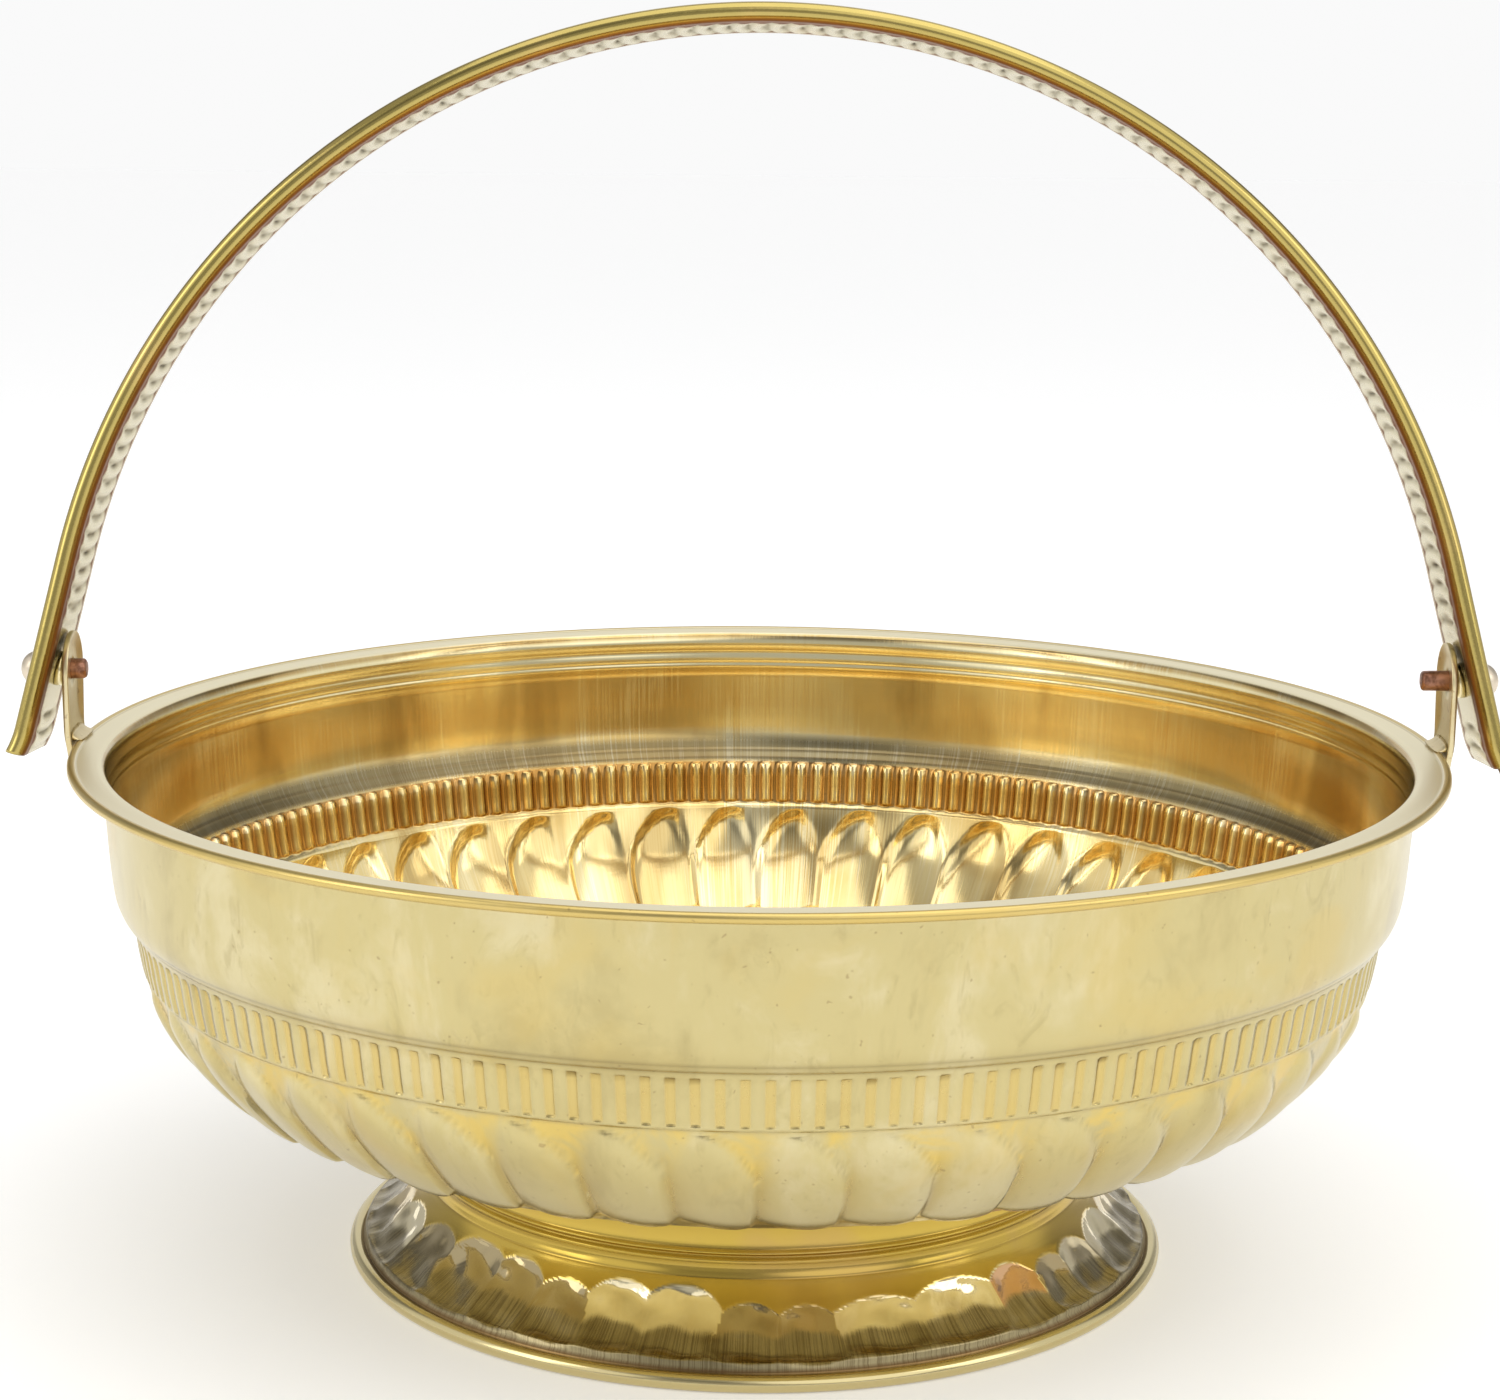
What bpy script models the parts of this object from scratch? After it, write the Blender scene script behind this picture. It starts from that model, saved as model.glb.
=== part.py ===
"""Brass urli-style basket bowl with a swinging bail handle.

Units are metres and +Z is up.  The origin is the centre of the ring that the
foot stands on, +X runs through the two pivots and the front is -Y.

Subcomponents
    bowl               spun sheet bowl with a stepped wall, flat lip and hem
    foot               spun foot ring, its lower edge rolled round a wire
    foot_wire          wire inside the foot's rolled edge
    foot_solder_ring   fillet that joins the foot's neck to the bowl
    ear_left/right     bent lugs that carry the handle
    ear_solder_*       fillets that join the lugs to the lip
    handle_strip       arched strip, both long edges rolled round wires
    handle_wire_*      the two wires inside the handle's rolled edges
    rivet_left/right   copper pivots, headed on the outside of the strip
    spacer_left/right  wedge washers between the lugs and the strip

The handle and everything on it is built about its pivot axis and leans back
by HANDLE_LEAN_DEG as it stands.
"""

import math

import bpy

MM = 0.001

# ---------------------------------------------------------------- dimensions
# Overall sizes
RIM_RADIUS = 127.0          # outside of the hemmed lip
LIP_WIDTH = 6.2             # from the wall just under the lip to the hem's outside
LIP_TOP_Z = 97.10           # flat top of the lip
BOWL_BASE_Z = 26.5          # underside of the bowl's floor
FOOT_RADIUS = 77.4          # outside of the foot's rolled edge
NECK_RADIUS = 61.2          # outside of the foot's neck
FLOOR_INSIDE_NECK = 4.2     # the floor is flat to this far inside the neck
BEAD_ABOVE_LIP = 0.35       # the hem's bead stands this far above the lip

# Sheets and wires
BOWL_SHEET = 0.80
FOOT_SHEET = 0.70
FOOT_BEAD_DIA = 3.10
LIP_BEAD_DIA = 1.80
HANDLE_SHEET = 0.50
HANDLE_TUBE_DIA = 3.60
EAR_SHEET = 1.10

# Handle
PIVOT_OUTSIDE_RIM = 5.5205  # tube centre at the pivot, out from the hem
ARCH_CENTRE_BELOW_PIVOT = 10.4
ARCH_END_DEG = 14.0         # where the arch runs into the straight legs
LEG_DROP = 15.0             # leg length below the pivot, measured upright
LEG_FLARE = 0.7             # outward flare of the last few millimetres
TUBE_HALF_SPACING = 9.2
PIVOT_ABOVE_LIP = 12.9
HANDLE_LEAN_DEG = -5.8      # about +X, so the top leans towards +Y
WIRE_STICK_OUT = 2.0        # the front wire shows past the right-hand end

# Lugs, pivots
EAR_HALF_WIDTH = 7.1
EAR_FOOT_HALF_WIDTH = 6.2
EAR_TOP_ABOVE_PIVOT = 7.1
EAR_BOTTOM_BELOW_LIP = 3.7
EAR_BEND_HEIGHT = 7.0       # height above the lip where the inward bend starts
RIVET_RADIUS = 1.90
RIVET_COLLAR_RADIUS = 2.70
RIVET_HEAD_RADIUS = 3.30
RIVET_HEAD_HEIGHT = 3.00
RIVET_TAIL_LEFT = 2.8       # length past the lug's inner face
RIVET_TAIL_RIGHT = 5.0
SPACER_RADIUS = 3.20
SPACER_THIN_EDGE = 0.35     # wedge washer's thin edge

# Fits
PIVOT_CLEARANCE = 0.09      # rivet in the lug, on the radius
PRESS_GAP = 0.06            # between pieces fixed to each other
WIRE_CLEARANCE = 0.12       # wire in its rolled edge, on the radius
SIDE_CLEARANCE = 0.15       # collar to lug
STRIP_TO_EAR = 0.25         # swinging strip past the lug
SOLDER_GAP = 0.08
NECK_TO_BOWL = 0.3033       # seam between the neck's edge and the bowl

# Facet counts
BOWL_STEPS = 80
FOOT_STEPS = 64
ARCH_STEPS = 40
ROUND_STEPS = 24
TURN_FLIP = True            # a turned outline runs anticlockwise in (radius, height)

# ------------------------------------------------------- derived dimensions
ARCH_SLOPE = math.tan(math.radians(ARCH_END_DEG))
BOWL_RADIUS = RIM_RADIUS - LIP_WIDTH                      # outside of the wall under the lip
FLOOR_RADIUS = NECK_RADIUS - FLOOR_INSIDE_NECK
PIVOT_Z = LIP_TOP_Z + PIVOT_ABOVE_LIP
# the arch's centre line, so that its straight legs pass the pivot where they should
ARCH_RADIUS = ((RIM_RADIUS + PIVOT_OUTSIDE_RIM + ARCH_SLOPE * ARCH_CENTRE_BELOW_PIVOT)
               * math.cos(math.radians(ARCH_END_DEG)))
TUBE_R = HANDLE_TUBE_DIA / 2.0
_arch_end_x = ARCH_RADIUS * math.cos(math.radians(ARCH_END_DEG))
_arch_end_h = ARCH_RADIUS * math.sin(math.radians(ARCH_END_DEG)) - ARCH_CENTRE_BELOW_PIVOT
PIVOT_TUBE_X = _arch_end_x + ARCH_SLOPE * _arch_end_h     # tube centre at the pivot
COS_ARCH = math.cos(math.radians(ARCH_END_DEG))
WEB_INNER_X = PIVOT_TUBE_X - TUBE_R / COS_ARCH            # web's inner face at the pivot
WEB_OUTER_X = PIVOT_TUBE_X - (TUBE_R - HANDLE_SHEET) / COS_ARCH
TUBE_OUTER_X = PIVOT_TUBE_X + TUBE_R / COS_ARCH
STRIP_HALF_WIDTH = TUBE_HALF_SPACING + TUBE_R
SPACER_INNER_X = WEB_INNER_X - PRESS_GAP - SPACER_THIN_EDGE - ARCH_SLOPE * SPACER_RADIUS
EAR_OUTER_X = SPACER_INNER_X - SIDE_CLEARANCE             # lug's outer face by the rivet
EAR_INNER_X = EAR_OUTER_X - EAR_SHEET
EAR_BOTTOM_Z = LIP_TOP_Z - EAR_BOTTOM_BELOW_LIP
SWING_HALF_DEG = 92.0       # each way from upright


# ------------------------------------------------------------------- helpers
def clear_scene():
    """Empty the file of its start-up objects and their data."""
    for obj in list(bpy.data.objects):
        bpy.data.objects.remove(obj, do_unlink=True)
    for coll in (bpy.data.meshes, bpy.data.materials, bpy.data.cameras, bpy.data.lights):
        for item in list(coll):
            coll.remove(item)


def metal(name, colour, roughness):
    """Return a plain metallic material."""
    mat = bpy.data.materials.new(name)
    mat.use_nodes = True
    bsdf = mat.node_tree.nodes.get("Principled BSDF")
    bsdf.inputs["Base Color"].default_value = (*colour, 1.0)
    bsdf.inputs["Metallic"].default_value = 1.0
    bsdf.inputs["Roughness"].default_value = roughness
    mat.diffuse_color = (*colour, 1.0)
    return mat


BRASS = (0.80, 0.62, 0.28)
COPPER = (0.62, 0.30, 0.20)
STEEL = (0.20, 0.15, 0.13)
SOLDER = (0.74, 0.62, 0.36)


def make_object(name, verts, faces, colour, roughness=0.3):
    """Build a mesh object from millimetre coordinates."""
    mesh = bpy.data.meshes.new(name)
    mesh.from_pydata([(x * MM, y * MM, z * MM) for x, y, z in verts], [], faces)
    mesh.validate()
    mesh.update()
    obj = bpy.data.objects.new(name, mesh)
    bpy.context.scene.collection.objects.link(obj)
    obj.data.materials.append(metal(name + "_metal", colour, roughness))
    return obj


def cutter(name, verts, faces):
    """Build a boolean tool that is never part of the result."""
    obj = make_object(name, verts, faces, (0.5, 0.5, 0.5))
    obj.hide_render = True
    obj.display_type = 'WIRE'
    return obj


def cut(obj, tool):
    """Subtract a tool from an object."""
    mod = obj.modifiers.new("cut_" + tool.name, 'BOOLEAN')
    mod.operation = 'DIFFERENCE'
    mod.solver = 'EXACT'
    mod.object = tool


def unit(dx, dy):
    """Return a unit vector."""
    length = math.hypot(dx, dy)
    return dx / length, dy / length


def offset(points, dist):
    """Offset an open polyline to its left by dist, with mitred corners."""
    out = []
    last = len(points) - 1
    for i, (px, py) in enumerate(points):
        if i == 0:
            tx, ty = unit(points[1][0] - px, points[1][1] - py)
            out.append((px - ty * dist, py + tx * dist))
        elif i == last:
            tx, ty = unit(px - points[i - 1][0], py - points[i - 1][1])
            out.append((px - ty * dist, py + tx * dist))
        else:
            ax, ay = unit(px - points[i - 1][0], py - points[i - 1][1])
            bx, by = unit(points[i + 1][0] - px, points[i + 1][1] - py)
            nx, ny = -(ay + by), ax + bx
            nx, ny = unit(nx, ny)
            cos_half = max(nx * -ay + ny * ax, 0.3)
            out.append((px + nx * dist / cos_half, py + ny * dist / cos_half))
    return out


def turned(name, profile, steps, colour, roughness=0.3, closed=True):
    """Turn a millimetre (radius, height) outline about Z with a screw."""
    area = sum(a[0] * b[1] - b[0] * a[1] for a, b in zip(profile, profile[1:] + profile[:1]))
    if area < 0.0:
        profile = profile[::-1]
    verts = [(r, 0.0, z) for r, z in profile]
    count = len(verts)
    edges = [(i, i + 1) for i in range(count - 1)]
    if closed:
        edges.append((count - 1, 0))
    mesh = bpy.data.meshes.new(name)
    mesh.from_pydata([(x * MM, y * MM, z * MM) for x, y, z in verts], edges, [])
    mesh.update()
    obj = bpy.data.objects.new(name, mesh)
    bpy.context.scene.collection.objects.link(obj)
    screw = obj.modifiers.new("turn", 'SCREW')
    screw.axis = 'Z'
    screw.angle = 2.0 * math.pi
    screw.screw_offset = 0.0
    screw.steps = steps
    screw.render_steps = steps
    screw.use_merge_vertices = True
    screw.merge_threshold = 1.0e-6
    screw.use_normal_calculate = False
    screw.use_normal_flip = TURN_FLIP
    screw.use_smooth_shade = False
    obj.data.materials.append(metal(name + "_metal", colour, roughness))
    return obj


def ring_grid(rings, cap_start=True, cap_end=True):
    """Return verts and faces of a tube through equal closed rings of points."""
    verts = [v for ring in rings for v in ring]
    n = len(rings[0])
    faces = []
    for s in range(len(rings) - 1):
        a, b = s * n, (s + 1) * n
        for i in range(n):
            j = (i + 1) % n
            faces.append((a + i, a + j, b + j, b + i))
    if cap_start:
        faces.append(tuple(range(n - 1, -1, -1)))
    if cap_end:
        base = (len(rings) - 1) * n
        faces.append(tuple(base + i for i in range(n)))
    return verts, faces


def shear_round(side, sections, steps=ROUND_STEPS):
    """Rings about the pivot axis for a piece that may meet the sloping leg.

    sections is a list of (x, radius, sloped): a sloped ring follows the leg's
    slope, so the piece sits flat on the strip.  side is +1 or -1.
    """
    rings = []
    for x, radius, sloped in sections:
        ring = []
        for k in range(steps):
            ang = 2.0 * math.pi * (k + 0.5) / steps
            y, z = radius * math.cos(ang), radius * math.sin(ang)
            xx = x - ARCH_SLOPE * z if sloped else x
            ring.append((side * xx, y, z))
        rings.append(ring)
    return rings


def place_on_pivot(obj):
    """Stand an object that was built about the pivot axis on the bowl."""
    obj.location = (0.0, 0.0, PIVOT_Z * MM)
    obj.rotation_euler = (math.radians(HANDLE_LEAN_DEG), 0.0, 0.0)


def face_outwards(obj):
    """Make a directly built mesh's faces consistent and outward."""
    import bmesh
    bm = bmesh.new()
    bm.from_mesh(obj.data)
    bmesh.ops.recalc_face_normals(bm, faces=bm.faces)
    if bm.calc_volume(signed=True) < 0.0:
        bmesh.ops.reverse_faces(bm, faces=bm.faces)
    bm.to_mesh(obj.data)
    bm.free()


# ---------------------------------------------------------------------- bowl
# The wall's outside as drawn: (radius, height above the base) for a floor of
# radius 57, a wall of radius 120.8 and a depth of 69.8.
BOWL_CURVE = (
    (64.5, 1.4), (74.0, 3.8), (84.0, 6.4), (93.2, 9.2), (99.6, 12.0), (103.6, 15.2),
    (107.2, 19.0), (110.3, 23.0), (112.7, 27.5), (114.1, 31.5), (115.2, 36.5),
    (115.8, 40.5), (116.4, 42.2), (118.2, 44.6), (119.2, 47.2), (119.8, 52.0),
    (120.2, 58.0), (120.6, 64.0), (120.8, 68.9),
)


def bowl_outside():
    """Outside of the bowl from the axis to the lip's underside."""
    across = (BOWL_RADIUS - FLOOR_RADIUS) / 63.8
    up = (LIP_TOP_Z - BOWL_SHEET - BOWL_BASE_Z) / 69.8
    points = [(0.0, BOWL_BASE_Z), (FLOOR_RADIUS - 27.0, BOWL_BASE_Z), (FLOOR_RADIUS, BOWL_BASE_Z)]
    for r, h in BOWL_CURVE:
        points.append((FLOOR_RADIUS + (r - 57.0) * across, BOWL_BASE_Z + h * up))
    points.append((BOWL_RADIUS + 0.35, LIP_TOP_Z - BOWL_SHEET))
    return points


def underside_z(radius):
    """Height of the bowl's outside at a radius."""
    points = bowl_outside()
    for (r0, z0), (r1, z1) in zip(points, points[1:]):
        if r0 <= radius <= r1:
            return z0 + (z1 - z0) * (radius - r0) / (r1 - r0)
    return points[-1][1]


def bowl_outline():
    """Closed outline of the bowl's sheet, starting and ending on the axis."""
    wall = BOWL_RADIUS
    outer = bowl_outside()
    inner = offset(outer[:-1], BOWL_SHEET)
    inner = [(max(r, 0.0), z) for r, z in inner]
    inner[0] = (0.0, BOWL_BASE_Z + BOWL_SHEET)
    bead_r = LIP_BEAD_DIA / 2.0
    cr, cz = RIM_RADIUS - bead_r, LIP_TOP_Z + BEAD_ABOVE_LIP - bead_r
    hem = []
    for deg in (235, 270, 305, 340, 20, 55, 90, 125):
        a = math.radians(deg)
        stretch = 1.0 / math.cos(math.radians(20.0)) if deg in (340, 20) else 1.0
        hem.append((cr + bead_r * math.cos(a) * stretch, cz + bead_r * math.sin(a)))
    lip_bottom = [(RIM_RADIUS - LIP_BEAD_DIA - 0.15, LIP_TOP_Z - BOWL_SHEET)]
    lip_top = [(RIM_RADIUS - LIP_BEAD_DIA + 0.0, LIP_TOP_Z), (wall + 0.7, LIP_TOP_Z),
               (wall - 0.05, LIP_TOP_Z - 0.45)]
    return outer + lip_bottom + hem + lip_top + inner[::-1][:-1] + [inner[0]]


def build_bowl():
    """Spin the bowl."""
    return turned("bowl", bowl_outline(), BOWL_STEPS, BRASS, 0.25, closed=False)


# ---------------------------------------------------------------------- foot
def curl_centre():
    """Centre (radius, height) of the foot's rolled edge."""
    r = FOOT_BEAD_DIA / 2.0
    return FOOT_RADIUS - r, r


def neck_top_z():
    """Height of the neck's upper edge, just under the bowl."""
    return underside_z(NECK_RADIUS - FOOT_SHEET) - NECK_TO_BOWL


# The foot's centre line as drawn: (out from the neck, down from the neck's top)
# for a rolled edge that starts 13.8 out and 24.9785 down.
FOOT_CURVE = (
    (0.0, 0.0), (0.0, 3.85), (0.3, 6.65), (0.75, 7.35), (0.45, 7.95), (0.95, 8.65),
    (0.8, 9.55), (1.5, 11.65), (3.1, 14.05), (5.6, 16.45), (8.8, 18.85), (11.7, 20.95),
    (13.2, 22.55),
)


def foot_outline():
    """Closed outline of the foot's sheet."""
    n = NECK_RADIUS - FOOT_SHEET / 2.0
    cr, cz = curl_centre()
    mid = (FOOT_BEAD_DIA - FOOT_SHEET) / 2.0
    rad = mid / math.cos(math.radians(15.0))
    neck_top = neck_top_z()
    across = (cr - mid - n) / 13.8
    down = (neck_top - cz - rad * math.sin(math.radians(15.0))) / 24.9785
    path = [(n + out * across, neck_top - drop * down) for out, drop in FOOT_CURVE]
    for deg in (165, 195, 225, 255, 285, 315, 345, 375, 405, 435):
        a = math.radians(deg)
        path.append((cr + rad * math.cos(a), cz + rad * math.sin(a)))
    # the edge stops just clear of the sheet it came from
    a = math.radians(462)
    path.append((cr + rad * math.cos(a), cz + rad * math.sin(a)))
    left = offset(path, FOOT_SHEET / 2.0)
    right = offset(path, -FOOT_SHEET / 2.0)
    return left + right[::-1]


def build_foot():
    """Spin the foot and lay the wire in its rolled edge."""
    foot = turned("foot", foot_outline(), FOOT_STEPS, BRASS, 0.25)
    cr, cz = curl_centre()
    wire_r = FOOT_BEAD_DIA / 2.0 - FOOT_SHEET - WIRE_CLEARANCE
    ring = []
    for k in range(8):
        a = 2.0 * math.pi * (k + 0.5) / 8
        ring.append((cr + wire_r * math.cos(a), cz + wire_r * math.sin(a)))
    wire = turned("foot_wire", ring, FOOT_STEPS, STEEL, 0.5)
    top = neck_top_z()
    g = SOLDER_GAP
    base = NECK_RADIUS + g
    fillet = [(base, top - 2.1), (base + 0.5, top - 0.8),
              (base + 1.9, underside_z(base + 1.9) - g), (base, underside_z(base) - g)]
    solder = turned("foot_solder_ring", fillet, FOOT_STEPS, SOLDER, 0.4)
    return foot, wire, solder


# ---------------------------------------------------------------------- ears
def strap_x(z):
    """Outer face of a lug's strap: straight by the pivot, bent in to the hem below."""
    low = RIM_RADIUS + SOLDER_GAP * 2.0 + EAR_SHEET + 0.15
    hold = EAR_OUTER_X
    span = hold - low
    top = LIP_TOP_Z
    bend = EAR_BEND_HEIGHT / 7.0
    pts = [(top - EAR_BOTTOM_BELOW_LIP, low - 0.30), (top - 2.1, low - 0.15), (top - 0.5, low),
           (top + 0.9 * bend, low + 0.30 * span), (top + 2.7 * bend, low + 0.72 * span),
           (top + 4.9 * bend, low + 0.95 * span), (top + 7.0 * bend, hold)]
    if z <= pts[0][0]:
        return pts[0][1]
    for (z0, x0), (z1, x1) in zip(pts, pts[1:]):
        if z <= z1:
            return x0 + (x1 - x0) * (z - z0) / (z1 - z0)
    return hold


def swept_x(y, z):
    """Furthest-in position of the strip's inner face over (y, z) as it swings."""
    best = 1.0e3
    dz = z - PIVOT_Z
    steps = int(SWING_HALF_DEG)
    for k in range(-steps, steps + 1):
        a = math.radians(k * SWING_HALF_DEG / steps)
        up = -y * math.sin(a) + dz * math.cos(a)
        across = y * math.cos(a) + dz * math.sin(a)
        if abs(across) <= STRIP_HALF_WIDTH + 0.3:
            best = min(best, WEB_INNER_X - ARCH_SLOPE * up)
    return best


def ear_outer_x(y, z):
    """Outer face of a lug at (y, z), dished so that the strip swings past it."""
    return min(strap_x(z), swept_x(y, z) - STRIP_TO_EAR)


def ear_half_width(z):
    """Half width of a lug at height z; the top is round about the pivot."""
    if z > PIVOT_Z:
        t = min((z - PIVOT_Z) / EAR_TOP_ABOVE_PIVOT, 1.0)
        return EAR_HALF_WIDTH * math.sqrt(max(1.0 - t * t, 0.0))
    t = min((PIVOT_Z - z) / (PIVOT_Z - EAR_BOTTOM_Z), 1.0)
    return EAR_HALF_WIDTH + (EAR_FOOT_HALF_WIDTH - EAR_HALF_WIDTH) * t


EAR_COLUMNS = (-1.0, -0.72, -0.36, 0.0, 0.36, 0.72, 1.0)


def build_ear(side, name):
    """Build one lug as a bent, dished plate with a clearance hole for the rivet."""
    straight = LIP_TOP_Z + EAR_BEND_HEIGHT
    heights = [EAR_BOTTOM_Z, LIP_TOP_Z - 2.1, LIP_TOP_Z - 0.5,
               LIP_TOP_Z + 0.9 * EAR_BEND_HEIGHT / 7.0,
               LIP_TOP_Z + 2.7 * EAR_BEND_HEIGHT / 7.0,
               LIP_TOP_Z + 4.9 * EAR_BEND_HEIGHT / 7.0, straight,
               straight + (PIVOT_Z - straight) * 0.5, PIVOT_Z]
    for deg in (16, 32, 48, 62, 74, 83):
        heights.append(PIVOT_Z + EAR_TOP_ABOVE_PIVOT * math.sin(math.radians(deg)))
    rings = []
    for i, z in enumerate(heights):
        w = ear_half_width(z) - (1.2 if i == 0 else 0.0)
        outer = [(side * ear_outer_x(c * w, z), c * w, z) for c in EAR_COLUMNS]
        inner = [(side * (ear_outer_x(c * w, z) - EAR_SHEET), c * w, z) for c in EAR_COLUMNS]
        rings.append(outer + inner[::-1])
    n = len(EAR_COLUMNS)
    verts, faces = ring_grid(rings, cap_start=False, cap_end=False)
    last = (len(rings) - 1) * 2 * n
    for i in range(n - 1):
        a, b, c, d = i, i + 1, 2 * n - 2 - i, 2 * n - 1 - i
        faces.append((a, b, c, d))
        faces.append((last + d, last + c, last + b, last + a))
    ear = make_object(name, verts, faces, BRASS, 0.3)
    face_outwards(ear)
    hole = shear_round(side, [(EAR_INNER_X - 3.0, RIVET_RADIUS + PIVOT_CLEARANCE, False),
                              (EAR_OUTER_X + 3.0, RIVET_RADIUS + PIVOT_CLEARANCE, False)])
    hv, hf = ring_grid(hole)
    tool = cutter(name + "_bore_tool", hv, hf)
    tool.location = (0.0, 0.0, PIVOT_Z * MM)
    face_outwards(tool)
    cut(ear, tool)
    return ear


def build_ear_solder(side, name):
    """Build the fillet in the corner between a lug and the lip."""
    top_z = LIP_TOP_Z + BEAD_ABOVE_LIP + SOLDER_GAP
    rings = []
    for y in (-5.4, -4.6, -2.5, 0.0, 2.5, 4.6, 5.4):
        full = 1.0 if abs(y) < 4.0 else (0.85 if abs(y) < 5.0 else 0.5)
        ring = []
        for rise in (0.0, 0.55, 1.7 * full):
            face = ear_outer_x(y, top_z + rise) - EAR_SHEET - SOLDER_GAP * 1.6
            ring.append((side * face, y, top_z + rise))
        foot_x = RIM_RADIUS - LIP_BEAD_DIA / 2.0
        ring.append((side * (foot_x + 0.45), y, top_z + 0.75 * full))
        ring.append((side * (foot_x - 0.9 * full), y, top_z))
        rings.append(ring)
    verts, faces = ring_grid(rings)
    obj = make_object(name, verts, faces, SOLDER, 0.4)
    face_outwards(obj)
    return obj


# -------------------------------------------------------------------- handle
def handle_stations(extra_left=0.0, extra_right=0.0):
    """Points of the tube centre line about the pivot, with outward normals.

    Each entry is (x, z, nx, nz).  The line runs from the right leg's end over
    the arch to the left leg's end; a positive extra lengthens that end.
    """
    end = math.radians(ARCH_END_DEG)
    out = []

    def leg(side, extra):
        nx, nz = math.cos(end), math.sin(end)
        pts = []
        for drop, flare in ((LEG_DROP, LEG_FLARE), (LEG_DROP - 2.6, 0.12),
                            (LEG_DROP - 4.5, 0.0), (4.5, 0.0), (-4.5, 0.0)):
            x = PIVOT_TUBE_X + ARCH_SLOPE * drop + flare
            pts.append((side * x, -drop, side * nx, nz))
        if extra != 0.0:
            x0, z0 = pts[0][0], pts[0][1]
            dx, dz = unit(pts[0][0] - pts[1][0], pts[0][1] - pts[1][1])
            pts[0] = (x0 + dx * extra, z0 + dz * extra, pts[0][2], pts[0][3])
        return pts

    out.extend(leg(1.0, extra_right))
    for k in range(ARCH_STEPS + 1):
        a = end + (math.pi - 2.0 * end) * k / ARCH_STEPS
        out.append((ARCH_RADIUS * math.cos(a),
                    ARCH_RADIUS * math.sin(a) - ARCH_CENTRE_BELOW_PIVOT,
                    math.cos(a), math.sin(a)))
    out.extend(leg(-1.0, extra_left)[::-1])
    return out


def strip_section():
    """Closed (across, outward) outline of the handle's sheet."""
    mid = TUBE_R - HANDLE_SHEET / 2.0
    rad = mid / math.cos(math.radians(15.0))
    half = []
    for deg in (75, 45, 15, -15, -45, -75, -105, -135, -165, -190):
        a = math.radians(deg)
        half.append((TUBE_HALF_SPACING + rad * math.cos(a), -rad * math.sin(a)))
    path = [(-u, v) for u, v in half[::-1]] + half
    left = offset(path, HANDLE_SHEET / 2.0)
    right = offset(path, -HANDLE_SHEET / 2.0)
    return left + right[::-1]


def build_handle():
    """Build the strip, its two wires, and the rivet holes."""
    section = strip_section()
    rings = []
    for x, z, nx, nz in handle_stations():
        rings.append([(x + nx * v, u, z + nz * v) for u, v in section])
    verts, faces = ring_grid(rings)
    strip = make_object("handle_strip", verts, faces, BRASS, 0.25)
    face_outwards(strip)
    place_on_pivot(strip)
    for side, label in ((1.0, "right"), (-1.0, "left")):
        radius = RIVET_RADIUS + PRESS_GAP
        hv, hf = ring_grid(shear_round(side, [(WEB_INNER_X - 1.2, radius, False),
                                              (WEB_OUTER_X + 1.2, radius, False)]))
        tool = cutter("strip_bore_tool_" + label, hv, hf)
        face_outwards(tool)
        place_on_pivot(tool)
        cut(strip, tool)
    wires = []
    wire_r = TUBE_R - HANDLE_SHEET - WIRE_CLEARANCE
    for name, across, extra_right in (("handle_wire_front", -TUBE_HALF_SPACING, WIRE_STICK_OUT),
                                      ("handle_wire_rear", TUBE_HALF_SPACING, -0.6)):
        rings = []
        for x, z, nx, nz in handle_stations(-0.6, extra_right):
            ring = []
            for k in range(8):
                a = 2.0 * math.pi * (k + 0.5) / 8
                u, v = across + wire_r * math.cos(a), wire_r * math.sin(a)
                ring.append((x + nx * v, u, z + nz * v))
            rings.append(ring)
        wv, wf = ring_grid(rings)
        wire = make_object(name, wv, wf, STEEL, 0.5)
        face_outwards(wire)
        place_on_pivot(wire)
        wires.append(wire)
    return strip, wires


def build_rivet(side, name, tail):
    """Build a rivet: tail, shank, a collar on the strip and a domed head past it."""
    tip = EAR_INNER_X - tail
    seat = WEB_OUTER_X + PRESS_GAP
    h, r = RIVET_HEAD_HEIGHT, RIVET_HEAD_RADIUS
    base = TUBE_OUTER_X + 0.2
    sections = [
        (tip, RIVET_RADIUS - 0.55, False), (tip + 0.5, RIVET_RADIUS, False),
        (EAR_OUTER_X + 0.1, RIVET_RADIUS, False), (seat, RIVET_RADIUS, True),
        (seat, RIVET_COLLAR_RADIUS, True), (base, RIVET_COLLAR_RADIUS, False),
        (base, r, False), (base + 0.35 * h, r * 0.96, False), (base + 0.68 * h, r * 0.76, False),
        (base + 0.90 * h, r * 0.46, False), (base + h, r * 0.16, False),
    ]
    verts, faces = ring_grid(shear_round(side, sections))
    obj = make_object(name, verts, faces, COPPER, 0.35)
    face_outwards(obj)
    place_on_pivot(obj)
    return obj


def build_spacer(side, name):
    """Build a wedge washer: square to the pivot inside, sloped to the strip outside."""
    bore = RIVET_RADIUS + PRESS_GAP
    x0 = SPACER_INNER_X
    x1 = WEB_INNER_X - PRESS_GAP
    rings = shear_round(side, [(x0, bore, False), (x0, SPACER_RADIUS, False),
                               (x1, SPACER_RADIUS, True), (x1, bore, True)])
    verts, faces = ring_grid(rings, cap_start=False, cap_end=False)
    n = ROUND_STEPS
    base = 3 * n
    for i in range(n):
        j = (i + 1) % n
        faces.append((base + i, base + j, j, i))
    obj = make_object(name, verts, faces, BRASS, 0.3)
    face_outwards(obj)
    place_on_pivot(obj)
    return obj


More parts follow.
